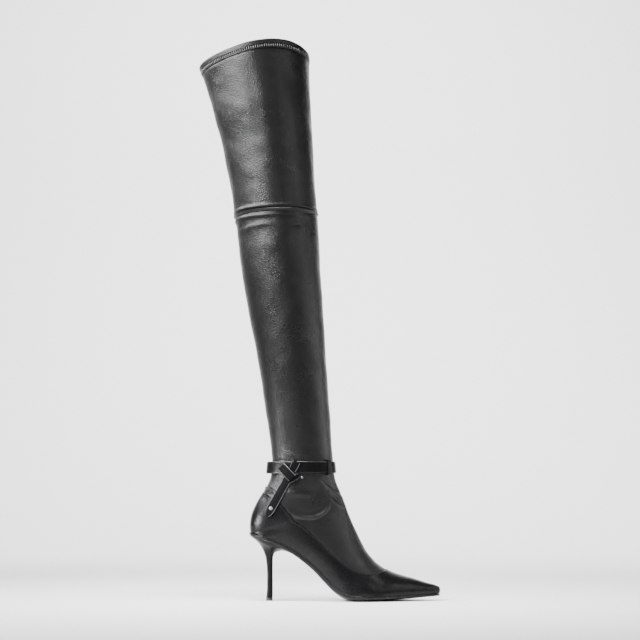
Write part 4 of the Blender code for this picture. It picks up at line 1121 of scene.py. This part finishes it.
def grain_group():
    """Fine leather grain: pebbles, pores and a slow change of tone."""
    old = bpy.data.node_groups.get("Leather Grain")
    if old:
        return old
    group = bpy.data.node_groups.new("Leather Grain", "ShaderNodeTree")
    new_socket(group, "Pebble Size", "NodeSocketFloat", "INPUT", 0.0011)
    new_socket(group, "Mottle", "NodeSocketFloat", "INPUT", 2.0)
    new_socket(group, "Cloud Size", "NodeSocketFloat", "INPUT", 0.030)
    new_socket(group, "Height", "NodeSocketFloat", "OUTPUT")
    new_socket(group, "Tone", "NodeSocketFloat", "OUTPUT")
    new_socket(group, "Pores", "NodeSocketFloat", "OUTPUT")
    nodes, links = group.nodes, group.links
    start, end = nodes.new("NodeGroupInput"), nodes.new("NodeGroupOutput")
    place = nodes.new("ShaderNodeTexCoord")

    def scaled(output):
        turn = nodes.new("ShaderNodeMath")
        turn.operation = "DIVIDE"
        turn.inputs[0].default_value = 1.0
        links.new(output, turn.inputs[1])
        return turn.outputs[0]

    fine = scaled(start.outputs["Pebble Size"])
    warp = nodes.new("ShaderNodeTexNoise")
    warp.inputs["Detail"].default_value = 2.0
    links.new(place.outputs["Object"], warp.inputs["Vector"])
    links.new(fine, warp.inputs["Scale"])
    shift = nodes.new("ShaderNodeVectorMath")
    shift.operation = "MULTIPLY_ADD"
    shift.inputs[1].default_value = (0.0006, 0.0006, 0.0006)
    links.new(warp.outputs["Color"], shift.inputs[0])
    links.new(place.outputs["Object"], shift.inputs[2])
    pebble = nodes.new("ShaderNodeTexVoronoi")
    pebble.feature = "DISTANCE_TO_EDGE"
    links.new(shift.outputs["Vector"], pebble.inputs["Vector"])
    links.new(fine, pebble.inputs["Scale"])
    soft = nodes.new("ShaderNodeMapRange")
    soft.interpolation_type = "SMOOTHSTEP"
    soft.inputs["From Max"].default_value = 0.28
    links.new(pebble.outputs["Distance"], soft.inputs["Value"])
    dust = nodes.new("ShaderNodeTexNoise")
    dust.inputs["Detail"].default_value = 4.0
    dust.inputs["Roughness"].default_value = 0.6
    links.new(place.outputs["Object"], dust.inputs["Vector"])
    links.new(fine, dust.inputs["Scale"])
    both = nodes.new("ShaderNodeMath")
    both.operation = "MULTIPLY_ADD"
    both.inputs[1].default_value = 0.55
    links.new(dust.outputs["Fac"], both.inputs[0])
    links.new(soft.outputs["Result"], both.inputs[2])
    cloud = nodes.new("ShaderNodeTexNoise")
    cloud.inputs["Detail"].default_value = 3.0
    links.new(place.outputs["Object"], cloud.inputs["Vector"])
    links.new(scaled(start.outputs["Cloud Size"]), cloud.inputs["Scale"])
    patch = nodes.new("ShaderNodeTexNoise")
    patch.inputs["Scale"].default_value = 62.0
    patch.inputs["Detail"].default_value = 2.0
    patch.inputs["Roughness"].default_value = 0.4
    links.new(place.outputs["Object"], patch.inputs["Vector"])
    total = nodes.new("ShaderNodeMath")
    total.operation = "MULTIPLY_ADD"
    links.new(patch.outputs["Fac"], total.inputs[0])
    links.new(start.outputs["Mottle"], total.inputs[1])
    links.new(both.outputs[0], total.inputs[2])
    links.new(total.outputs[0], end.inputs["Height"])
    links.new(cloud.outputs["Fac"], end.inputs["Tone"])
    links.new(soft.outputs["Result"], end.inputs["Pores"])
    return group


def mix_colours(nodes, links, share, dark, light):
    """A blend of two colours by a share."""
    mix = nodes.new("ShaderNodeMix")
    mix.data_type = "RGBA"
    mix.inputs["A"].default_value = (*dark, 1.0)
    mix.inputs["B"].default_value = (*light, 1.0)
    links.new(share, mix.inputs["Factor"])
    return mix.outputs["Result"]


def ranged(nodes, links, value, low, high, start=0.0, stop=1.0):
    """A value taken from one range to another."""
    node = nodes.new("ShaderNodeMapRange")
    node.inputs["From Min"].default_value, node.inputs["From Max"].default_value = start, stop
    node.inputs["To Min"].default_value, node.inputs["To Max"].default_value = low, high
    links.new(value, node.inputs["Value"])
    return node.outputs["Result"]


def new_finish(name, colour):
    """A new material with its colour in the viewport, and its nodes, links and shader."""
    made = bpy.data.materials.new(name)
    made.use_nodes = True
    made.diffuse_color = (*colour, 1.0)
    tree = made.node_tree
    return made, tree.nodes, tree.links, tree.nodes["Principled BSDF"]


def leather(name, colour, roughness, pebble=0.0011, depth=0.00004, tone=0.3, gloss=0.25, mottle=2.0):
    """Dyed leather: grain in the bump, pores a little darker and duller, tone in slow clouds."""
    old = bpy.data.materials.get(name)
    if old:
        return old
    made, nodes, links, shader = new_finish(name, colour)
    grain = nodes.new("ShaderNodeGroup")
    grain.node_tree = grain_group()
    grain.inputs["Pebble Size"].default_value = pebble
    grain.inputs["Cloud Size"].default_value = 0.030
    grain.inputs["Mottle"].default_value = mottle
    dark = tuple(part * (1 - tone) for part in colour)
    light = tuple(part * (1 + tone) for part in colour)
    clouds = ranged(nodes, links, grain.outputs["Tone"], 0.0, 1.0, 0.3, 0.7)
    links.new(mix_colours(nodes, links, clouds, dark, light), shader.inputs["Base Color"])
    worn = ranged(nodes, links, grain.outputs["Tone"], roughness * 1.14, roughness * 0.86, 0.3, 0.7)
    pores = nodes.new("ShaderNodeMath")
    pores.operation = "MULTIPLY"
    links.new(worn, pores.inputs[0])
    links.new(ranged(nodes, links, grain.outputs["Pores"], 1.18, 0.96), pores.inputs[1])
    links.new(pores.outputs[0], shader.inputs["Roughness"])
    bump = nodes.new("ShaderNodeBump")
    bump.inputs["Strength"].default_value = 1.0
    bump.inputs["Distance"].default_value = depth
    links.new(grain.outputs["Height"], bump.inputs["Height"])
    links.new(bump.outputs["Normal"], shader.inputs["Normal"])
    shader.inputs["Specular IOR Level"].default_value = gloss
    return made


def plain(name, colour, roughness, metallic=0.0, size=0.0009, depth=0.00001):
    """Rubber, thread or metal with a fine uneven surface."""
    old = bpy.data.materials.get(name)
    if old:
        return old
    made, nodes, links, shader = new_finish(name, colour)
    place = nodes.new("ShaderNodeTexCoord")
    noise = nodes.new("ShaderNodeTexNoise")
    noise.inputs["Scale"].default_value = 1 / size
    noise.inputs["Detail"].default_value = 3.0
    links.new(place.outputs["Object"], noise.inputs["Vector"])
    dark = tuple(part * 0.85 for part in colour)
    light = tuple(part * 1.15 for part in colour)
    links.new(mix_colours(nodes, links, noise.outputs["Fac"], dark, light), shader.inputs["Base Color"])
    links.new(ranged(nodes, links, noise.outputs["Fac"], roughness * 0.9, roughness * 1.1),
              shader.inputs["Roughness"])
    bump = nodes.new("ShaderNodeBump")
    bump.inputs["Distance"].default_value = depth
    links.new(noise.outputs["Fac"], bump.inputs["Height"])
    links.new(bump.outputs["Normal"], shader.inputs["Normal"])
    shader.inputs["Metallic"].default_value = metallic
    return made


# What a user can change


class BootSizes(bpy.types.PropertyGroup):
    """Sizes of the visible detail."""

    stitch_pitch: bpy.props.FloatProperty(
        name="Stitch pitch", description="Distance between the collar's bar stitches", default=0.0031,
        min=0.001, max=0.004, precision=4, unit="LENGTH")
    stitch_height: bpy.props.FloatProperty(
        name="Stitch height", description="Height of a bar stitch", default=0.0040,
        min=0.001, max=0.006, precision=4, unit="LENGTH")
    thread: bpy.props.FloatProperty(
        name="Thread", description="Diameter of the thread", default=0.0009,
        min=0.0003, max=0.002, precision=4, unit="LENGTH")
    edge: bpy.props.FloatProperty(
        name="Edge", description="Rounding of cut leather edges", default=0.0004,
        min=0.0001, max=0.001, precision=4, unit="LENGTH")


class BootColours(bpy.types.PropertyGroup):
    """Colours of leather, thread, sole and metal."""

    leg: bpy.props.FloatVectorProperty(
        name="Leg leather", description="Colour of the leg's leather", default=(0.0045, 0.0045, 0.0048),
        min=0, max=1, subtype="COLOR")
    foot: bpy.props.FloatVectorProperty(
        name="Foot leather", description="Colour of the foot's leather", default=(0.0035, 0.0035, 0.0038),
        min=0, max=1, subtype="COLOR")
    strap: bpy.props.FloatVectorProperty(
        name="Strap leather", description="Colour of strap and knot", default=(0.0035, 0.0035, 0.0038),
        min=0, max=1, subtype="COLOR")
    # The pale edge colour is a painted highlight along the straps' polished edges.
    edge: bpy.props.FloatVectorProperty(
        name="Strap edge", description="Colour of the strap's polished edges", default=(0.075, 0.075, 0.075),
        min=0, max=1, subtype="COLOR")
    thread: bpy.props.FloatVectorProperty(
        name="Thread", description="Colour of the stitches", default=(0.15, 0.15, 0.15),
        min=0, max=1, subtype="COLOR")
    sole: bpy.props.FloatVectorProperty(
        name="Sole", description="Colour of the sole", default=(0.010, 0.010, 0.010),
        min=0, max=1, subtype="COLOR")
    metal: bpy.props.FloatVectorProperty(
        name="Metal", description="Colour of the studs", default=(0.16, 0.16, 0.16),
        min=0, max=1, subtype="COLOR")


def sizes():
    """The sizes set in the sidebar."""
    return bpy.context.scene.boot_sizes


def colours():
    """The colours set in the sidebar."""
    return bpy.context.scene.boot_colours


def leg_leather():
    return leather("Leg Leather", tuple(colours().leg), 0.31, pebble=0.0026, depth=0.00012, mottle=1.5)


def foot_leather():
    return leather("Foot Leather", tuple(colours().foot), 0.24, pebble=0.0018, depth=0.00004, gloss=0.15,
                   mottle=4.0)


def strap_leather():
    return leather("Strap Leather", tuple(colours().strap), 0.30, pebble=0.0008, depth=0.000008, gloss=0.07,
                   mottle=0.5)


def knot_leather():
    """The turned face of the knotted strap: duller than the strap itself."""
    return leather("Knot Leather", tuple(colours().strap), 0.48, pebble=0.0008, depth=0.00001, gloss=0.02,
                   mottle=0.5)


def edge_highlight_finish(name="Knot Edge", share=1.0):
    """Cut edges, polished, coloured paler than the face: a painted highlight along the edge."""
    return plain(name, tuple(share * part for part in colours().edge), 0.25, size=0.0012)


class BOOT_OT_foot(bpy.types.Operator):
    """Vamp and quarters, with the folded bead along their top line"""

    bl_idname = "boot.foot"
    bl_label = "Foot"
    bl_options = {"REGISTER", "UNDO"}

    def execute(self, context):
        grid = wall(foot_grid(), 6, WALL + FOOT_PROUD)
        ring_piece("Foot", grid, foot_leather(), ("upper",))
        return {"FINISHED"}


class BOOT_OT_shaft(bpy.types.Operator):
    """Lower leg from the foot's top line to the knee seam, with its folds at the ankle"""

    bl_idname = "boot.shaft"
    bl_label = "Lower leg"
    bl_options = {"REGISTER", "UNDO"}

    def execute(self, context):
        ring_piece("Lower_Leg", wall(shaft_grid(), 7, WALL), leg_leather(), ("shaft",))
        return {"FINISHED"}


class BOOT_OT_thigh(bpy.types.Operator):
    """Thigh from the knee seam to the band"""

    bl_idname = "boot.thigh"
    bl_label = "Thigh"
    bl_options = {"REGISTER", "UNDO"}

    def execute(self, context):
        ring_piece("Thigh", wall(thigh_grid(), 5, WALL), leg_leather(), ("thigh_shaft",))
        return {"FINISHED"}


class BOOT_OT_band(bpy.types.Operator):
    """Folded band round the collar"""

    bl_idname = "boot.band"
    bl_label = "Collar band"
    bl_options = {"REGISTER", "UNDO"}

    def execute(self, context):
        grid = wall(band_grid(), 2, WALL + 2 * BAND_STEP, rim=0.45)
        piece = ring_piece("Collar_Band", grid, leg_leather(), ("collar_band",))
        # Rows 3 to 5 of the band, along the stitch line, get darker and duller leather: a painted shade line
        # for the stitched groove.
        stitch_line_shade = leather("Pinched Leather", tuple(colours().strap), 0.50, pebble=0.0008, depth=0.00001,
                        gloss=0.02)
        around = grid.shape[1]
        give_painted_light_finish(piece, stitch_line_shade, [row * around + step for row in (3, 4, 5) for step in range(around)])
        return {"FINISHED"}


class BOOT_OT_strap(bpy.types.Operator):
    """Ankle strap with its sleeve"""

    bl_idname = "boot.strap"
    bl_label = "Ankle strap"
    bl_options = {"REGISTER", "UNDO"}

    def execute(self, context):
        grid = strap_grid()
        faces = ring_faces(*grid.shape[:2])
        piece = mesh_piece("Ankle_Strap", grid.reshape(-1, 3), faces, strap_leather(), nodes=("ankle_strap",),
                           sharp=60)
        face_out(piece)
        around = grid.shape[1]
        # The strap's edges get a dimmer pale colour, a painted highlight.
        edge = edge_highlight_finish("Strap Edge", 0.2)
        give_painted_light_finish(piece, edge, [part * around + step for part in edge_highlight_columns(10) for step in range(around)])
        sheet_piece("Strap_Sleeve", keeper_grid(), KEEPER_THICK, strap_leather(), ("strap_keeper",),
                    sizes().edge)
        return {"FINISHED"}


class BOOT_OT_knot(bpy.types.Operator):
    """Folded knot on the outer side and its hanging end"""

    bl_idname = "boot.knot"
    bl_label = "Knot"
    bl_options = {"REGISTER", "UNDO"}

    def execute(self, context):
        for name, table, node, puff in (
                ("Strap_Tail", TAIL, "strap_tail", 0.0), ("Knot_Fold", KNOT_FOLD, "knot_fold", 0.0006),
                ("Knot_Loop", KNOT_LOOP, "knot_loop", 0.0003), ("Knot_End", KNOT_END, "knot_end", 0.0)):
            grid = strip_grid(table, STRAP_WIDTH, RIBBON_THICK, puff=puff)
            # The knot's cut edges get the pale edge colour, a painted highlight.
            strip_piece(name, grid, knot_leather(), edge_highlight_finish(), (node,))
        return {"FINISHED"}


# A domed stud from its foot to its crown, shares of its radius
Dome = namedtuple("Dome", "radius rise")
DOME = (
    Dome(1.00, 0.00), Dome(1.00, 0.12), Dome(0.93, 0.22), Dome(0.80, 0.24), Dome(0.72, 0.30),
    Dome(0.62, 0.42), Dome(0.44, 0.54), Dome(0.22, 0.61), Dome(0.05, 0.63),
)
DOME_SIDES = 28


def make_stud(name, x, z, stand, radius, finish, node):
    """A domed stud, square to the leather or strip that it sits on."""
    foot = Vector(outer_spots(x, z, stand))
    lean = (Vector(outer_spots(x, z, stand + STRAP_THICK)) - foot).normalized()
    aside = lean.cross(Vector((0, 0, 1))).normalized()
    up = aside.cross(lean)
    points = []
    for ring in DOME:
        for part in range(DOME_SIDES):
            turn = 2 * math.pi * part / DOME_SIDES
            points.append(foot + (aside * math.cos(turn) + up * math.sin(turn)) * radius * ring.radius
                          + lean * ring.rise * radius)
    piece = mesh_piece(name, points, capped_faces(len(DOME), DOME_SIDES), finish, nodes=(node,),
                       sharp=40)
    face_out(piece)


class BOOT_OT_studs(bpy.types.Operator):
    """Plain domed studs on the hanging end and by the knot"""

    bl_idname = "boot.studs"
    bl_label = "Studs"
    bl_options = {"REGISTER", "UNDO"}

    def execute(self, context):
        metal = plain("Stud Metal", tuple(colours().metal), 0.26, 1.0, size=0.0006, depth=0.000004)
        end = TAIL[-3]
        on_tail = end.stand * STRAP_THICK + RIBBON_THICK + 4 * GAP
        make_stud("Tail_Stud", end.x * ANKLE_WIDTH, end.z * STRAP_HEIGHT, on_tail, TAIL_STUD, metal,
                  "tail_stud")
        make_stud("Knot_Stud", KNOT_STUD_X * ANKLE_WIDTH, KNOT_STUD_Z * STRAP_HEIGHT, 2 * GAP, KNOT_STUD, metal,
                  "knot_stud")
        return {"FINISHED"}


class BOOT_OT_sole(bpy.types.Operator):
    """Sole in two layers with a bevelled edge, and the board inside"""

    bl_idname = "boot.sole"
    bl_label = "Sole"
    bl_options = {"REGISTER", "UNDO"}

    def execute(self, context):
        finish = leather("Sole Leather", tuple(colours().sole), 0.36, pebble=0.0016, depth=0.000015,
                         gloss=0.15)
        capped_piece("Sole", sole_mesh(), finish, ("outsole",), 50)
        board = leather("Insole Board", (0.050, 0.047, 0.044), 0.7, pebble=0.0014, depth=0.00003)
        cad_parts["insole"].data.materials.clear()
        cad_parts["insole"].data.materials.append(board)
        return {"FINISHED"}


class BOOT_OT_heel(bpy.types.Operator):
    """Covered heel and its rubber tip"""

    bl_idname = "boot.heel"
    bl_label = "Heel"
    bl_options = {"REGISTER", "UNDO"}

    def execute(self, context):
        finish = leather("Heel Cover", tuple(colours().foot), 0.28, pebble=0.0008, depth=0.000008, gloss=0.12,
                         mottle=0.5)
        capped_piece("Heel", heel_grid(), finish, ("heel",), 55)
        rubber = plain("Heel Rubber", (0.020, 0.020, 0.020), 0.55)
        rings = []
        for share, z in ((0.93, TIP_HEIGHT), (1.0, TIP_HEIGHT - 0.0003), (1.0, 0.0003), (0.95, 0.0)):
            rings += [tuple(point) for point in heel_ring(
                -TIP_LENGTH / 2 * share, TIP_LENGTH / 2 * share, z, z, TIP_WIDTH / 2 * share, 48)]
        tip = mesh_piece("Heel_Tip", rings, capped_faces(4, 48), rubber, nodes=("heel_tip",),
                         sharp=30)
        face_out(tip)
        return {"FINISHED"}


def stitch_tree():
    """Bars of thread set along a path: each one is a small capsule, turned to stand on the path."""
    group = bpy.data.node_groups.new("Bar Stitches", "GeometryNodeTree")
    new_socket(group, "Geometry", "NodeSocketGeometry", "INPUT")
    new_socket(group, "Pitch", "NodeSocketFloat", "INPUT", 0.002)
    new_socket(group, "Height", "NodeSocketFloat", "INPUT", 0.003)
    new_socket(group, "Thread", "NodeSocketFloat", "INPUT", 0.0008)
    new_socket(group, "Finish", "NodeSocketMaterial", "INPUT")
    new_socket(group, "Geometry", "NodeSocketGeometry", "OUTPUT")
    nodes, links = group.nodes, group.links
    start, end = nodes.new("NodeGroupInput"), nodes.new("NodeGroupOutput")
    path = nodes.new("GeometryNodeMeshToCurve")
    links.new(start.outputs["Geometry"], path.inputs["Mesh"])
    even = nodes.new("GeometryNodeResampleCurve")
    even.mode = "LENGTH"
    links.new(path.outputs["Curve"], even.inputs["Curve"])
    links.new(start.outputs["Pitch"], even.inputs["Length"])
    bar = nodes.new("GeometryNodeMeshIcoSphere")
    bar.inputs["Radius"].default_value = 0.5
    bar.inputs["Subdivisions"].default_value = 2
    size = nodes.new("ShaderNodeCombineXYZ")
    links.new(start.outputs["Thread"], size.inputs[0])
    links.new(start.outputs["Thread"], size.inputs[1])
    links.new(start.outputs["Height"], size.inputs[2])
    shape = nodes.new("GeometryNodeTransform")
    links.new(bar.outputs["Mesh"], shape.inputs["Geometry"])
    links.new(size.outputs["Vector"], shape.inputs["Scale"])
    tangent = nodes.new("GeometryNodeInputTangent")
    align = nodes.new("FunctionNodeAlignRotationToVector")
    align.axis = "X"
    align.pivot_axis = "Z"
    links.new(tangent.outputs["Tangent"], align.inputs["Vector"])
    up = nodes.new("FunctionNodeAlignRotationToVector")
    up.axis = "Z"
    lean = nodes.new("GeometryNodeInputNamedAttribute")
    lean.data_type = "FLOAT_VECTOR"
    lean.inputs["Name"].default_value = "lean"
    links.new(lean.outputs["Attribute"], up.inputs["Vector"])
    links.new(align.outputs["Rotation"], up.inputs["Rotation"])
    put = nodes.new("GeometryNodeInstanceOnPoints")
    links.new(even.outputs["Curve"], put.inputs["Points"])
    links.new(shape.outputs["Geometry"], put.inputs["Instance"])
    links.new(up.outputs["Rotation"], put.inputs["Rotation"])
    real = nodes.new("GeometryNodeRealizeInstances")
    links.new(put.outputs["Instances"], real.inputs["Geometry"])
    paint = nodes.new("GeometryNodeSetMaterial")
    links.new(real.outputs["Geometry"], paint.inputs["Geometry"])
    links.new(start.outputs["Finish"], paint.inputs["Material"])
    soft = nodes.new("GeometryNodeSetShadeSmooth")
    links.new(paint.outputs["Geometry"], soft.inputs["Geometry"])
    links.new(soft.outputs["Geometry"], end.inputs["Geometry"])
    return group


def stitched(name, points, leans, pitch, height, thread, finish):
    """Runs the stitch tree along a path and keeps the result as a plain mesh."""
    group = bpy.data.node_groups.get("Bar Stitches") or stitch_tree()
    curve = bpy.data.meshes.new(name + "_Path")
    count = len(points)
    edges = [(index, (index + 1) % count) for index in range(count)]
    curve.from_pydata([tuple(point) for point in points], edges, [])
    layer = curve.attributes.new("lean", "FLOAT_VECTOR", "POINT")
    layer.data.foreach_set("vector", np.asarray(leans, float).ravel())
    path = bpy.data.objects.new(name + "_Path", curve)
    bpy.context.scene.collection.objects.link(path)
    tool = path.modifiers.new("Stitches", "NODES")
    tool.node_group = group
    sockets = {item.name: item.identifier for item in group.interface.items_tree if item.in_out == "INPUT"}
    for label, value in (("Pitch", pitch), ("Height", height), ("Thread", thread), ("Finish", finish)):
        tool[sockets[label]] = value
    graph = bpy.context.evaluated_depsgraph_get()
    mesh = bpy.data.meshes.new_from_object(path.evaluated_get(graph))
    mesh.name = name
    bpy.data.objects.remove(path)
    piece = bpy.data.objects.new(name, mesh)
    bpy.context.scene.collection.objects.link(piece)
    mesh.materials.clear()
    mesh.materials.append(finish)
    mesh.polygons.foreach_set("material_index", [0] * len(mesh.polygons))
    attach(piece, "root")
    return piece


class BOOT_OT_stitches(bpy.types.Operator):
    """Bar stitches along the band's lower edge"""

    bl_idname = "boot.stitches"
    bl_label = "Stitches"
    bl_options = {"REGISTER", "UNDO"}

    def execute(self, context):
        thread = plain("Thread", tuple(colours().thread), 0.38, size=0.0003, depth=0.00003)
        side = np.linspace(-1, 1, 721)[:-1]
        place = band_place() + COLLAR_BAND * 0.25
        low = skin(place - 0.001, side, BAND_STEP * 0.9)
        high = skin(place + 0.001, side, BAND_STEP * 0.9)
        points = (low + high) / 2
        piece = stitched("Band_Stitches", points, high - low, sizes().stitch_pitch, sizes().stitch_height,
                         sizes().thread, thread)
        return {"FINISHED"}


class BOOT_OT_stage(bpy.types.Operator):
    """Pale floor, darker towards the camera as painted shade, backdrop, soft lights and the camera"""

    bl_idname = "boot.stage"
    bl_label = "Stage"
    bl_options = {"REGISTER", "UNDO"}

    def execute(self, context):
        make_floor()
        make_lights()
        make_camera(context)
        return {"FINISHED"}


def make_floor():
    """One sheet that runs up behind in a wide curve; its colour is darker towards the camera, a painted shade.
    """
    rows = [(-4.0, 0.0), (2.0, 0.0)]
    for part in range(1, 9):
        turn = math.pi / 2 * part / 8
        rows.append((2.0 + 1.5 * math.sin(turn), 1.5 - 1.5 * math.cos(turn)))
    rows.append((3.5, 5.0))
    points = [(x, y, z) for y, z in rows for x in (-5.0, 5.0)]
    faces = [(2 * row, 2 * row + 1, 2 * row + 3, 2 * row + 2) for row in range(len(rows) - 1)]
    mesh = bpy.data.meshes.new("Floor")
    mesh.from_pydata(points, [], faces)
    floor = bpy.data.objects.new("Floor", mesh)
    bpy.context.scene.collection.objects.link(floor)
    mesh.shade_smooth()
    paint = bpy.data.materials.new("Pale Floor")
    paint.use_nodes = True
    nodes, links = paint.node_tree.nodes, paint.node_tree.links
    place = nodes.new("ShaderNodeTexCoord")
    split = nodes.new("ShaderNodeSeparateXYZ")
    links.new(place.outputs["Object"], split.inputs["Vector"])
    # The floor's colour darkens near the camera: painted shade, so that the leather reflects less of the floor.
    dark = ranged(nodes, links, split.outputs["Y"], 1.0, 0.0, -1.7, -0.8)
    links.new(mix_colours(nodes, links, dark, (0.90, 0.90, 0.90), (0.30, 0.30, 0.30)),
              nodes["Principled BSDF"].inputs["Base Color"])
    nodes["Principled BSDF"].inputs["Roughness"].default_value = 0.8
    mesh.materials.append(paint)


# Lamps stand in a ring round the leg. turn: degrees from the camera's side towards the heel; height, aim:
# where the lamp stands and where it points; wide, high: its size, all in metres; spread in degrees
Lamp = namedtuple("Lamp", "name turn reach height aim wide high power spread")
LAMPS = (
    Lamp("Left One", 25, 1.8, 1.05, 0.38, 0.45, 0.70, 2.2, 90),
    Lamp("Left Two", 37, 1.8, 1.05, 0.38, 0.45, 0.70, 3.0, 90),
    Lamp("Left Three", 50, 1.8, 1.05, 0.38, 0.45, 0.70, 3.0, 90),
    Lamp("Left Four", 64, 1.8, 1.05, 0.38, 0.45, 0.70, 1.6, 90),
    Lamp("High One", 32, 1.8, 1.42, 0.66, 0.50, 0.50, 6.0, 70),
    Lamp("High Two", 52, 1.8, 1.42, 0.66, 0.90, 0.50, 13.0, 70),
    Lamp("High Three", 80, 1.8, 1.42, 0.68, 0.80, 0.50, 8.0, 70),
    Lamp("High Four", 106, 1.8, 1.42, 0.68, 0.80, 0.50, 5.0, 70),
    Lamp("Heel Kicker", 72, 1.4, 0.20, 0.10, 0.36, 0.20, 0.45, 15),
    Lamp("Instep", -78, 1.6, 1.55, 0.10, 0.60, 0.30, 0.2, 24),
    Lamp("Over", 0, 0.40, 2.20, 0.10, 0.80, 0.50, 5.0, 40),
    Lamp("Right One", -40, 1.8, 1.05, 0.38, 0.45, 0.70, 1.0, 90),
    Lamp("Right Two", -64, 1.8, 0.95, 0.30, 0.45, 0.80, 1.2, 80),
    Lamp("Right Three", -80, 1.8, 0.36, 0.12, 0.45, 0.70, 0.9, 90),
    Lamp("Rear Right", -98, 1.8, 0.36, 0.12, 0.45, 0.70, 2.0, 90),
)
RING_CENTRE = 0.03


def make_lamp(name, place, aim, wide, high, power, spread):
    """A soft lamp at a place, turned to its aim."""
    data = bpy.data.lights.new(name, "AREA")
    data.shape = "RECTANGLE"
    data.size = wide
    data.size_y = high
    data.energy = power
    data.spread = math.radians(spread)
    item = bpy.data.objects.new(name, data)
    bpy.context.scene.collection.objects.link(item)
    item.location = place
    item.rotation_euler = (Vector(aim) - Vector(place)).to_track_quat("-Z", "Y").to_euler()


def make_lights():
    """A ring of soft lamps for the leather, and one that turns the backdrop white."""
    world = bpy.data.worlds.new("Pale Room")
    bpy.context.scene.world = world
    world.use_nodes = True
    back = world.node_tree.nodes["Background"]
    back.inputs["Color"].default_value = (0.97, 0.98, 1.0, 1)
    back.inputs["Strength"].default_value = 0.04
    for lamp in LAMPS:
        turn = math.radians(lamp.turn)
        place = (RING_CENTRE - lamp.reach * math.sin(turn), -lamp.reach * math.cos(turn), lamp.height)
        make_lamp(lamp.name, place, (RING_CENTRE, 0.0, lamp.aim), lamp.wide, lamp.high, lamp.power,
                  lamp.spread)
    make_lamp("Backdrop", (0.0, 0.9, 3.2), (0.0, 2.9, 1.2), 3.5, 1.0, 210.0, 120)


def make_camera(context):
    """The photo's camera: low, a long lens, tipped up a little."""
    data = bpy.data.cameras.new("Camera")
    data.lens, data.sensor_width = 79.3125, 36.0
    camera = bpy.data.objects.new("Camera", data)
    context.scene.collection.objects.link(camera)
    camera.location = (0.06699, -1.900, 0.110)
    camera.rotation_euler = Euler((math.radians(90 + 7.94179527), 0, 0))
    context.scene.camera = camera


class BOOT_PT_panel(bpy.types.Panel):
    """Sizes, colours and pieces of the boot"""

    bl_label = "Thigh high boot"
    bl_idname = "BOOT_PT_panel"
    bl_space_type = "VIEW_3D"
    bl_region_type = "UI"
    bl_category = "Boot"

    def draw(self, context):
        layout = self.layout
        for group in (context.scene.boot_sizes, context.scene.boot_colours):
            box = layout.box()
            for name in group.__annotations__:
                box.prop(group, name)
        for operator in OPERATORS:
            layout.operator(operator.bl_idname)


OPERATORS = (
    BOOT_OT_stage, BOOT_OT_foot, BOOT_OT_shaft, BOOT_OT_thigh, BOOT_OT_band, BOOT_OT_sole, BOOT_OT_heel,
    BOOT_OT_strap, BOOT_OT_knot, BOOT_OT_studs, BOOT_OT_stitches,
)
CLASSES = (BootSizes, BootColours, *OPERATORS, BOOT_PT_panel)


def register():
    for item in CLASSES:
        bpy.utils.register_class(item)
    bpy.types.Scene.boot_sizes = bpy.props.PointerProperty(type=BootSizes)
    bpy.types.Scene.boot_colours = bpy.props.PointerProperty(type=BootColours)


def unregister():
    del bpy.types.Scene.boot_colours
    del bpy.types.Scene.boot_sizes
    for item in reversed(CLASSES):
        bpy.utils.unregister_class(item)


def main():
    register()
    bpy.ops.boot.stage()
    bpy.ops.boot.foot()
    bpy.ops.boot.shaft()
    bpy.ops.boot.thigh()
    bpy.ops.boot.band()
    bpy.ops.boot.sole()
    bpy.ops.boot.heel()
    bpy.ops.boot.strap()
    bpy.ops.boot.knot()
    bpy.ops.boot.studs()
    bpy.ops.boot.stitches()
    bpy.context.view_layer.update()


if __name__ == "__main__":
    main()
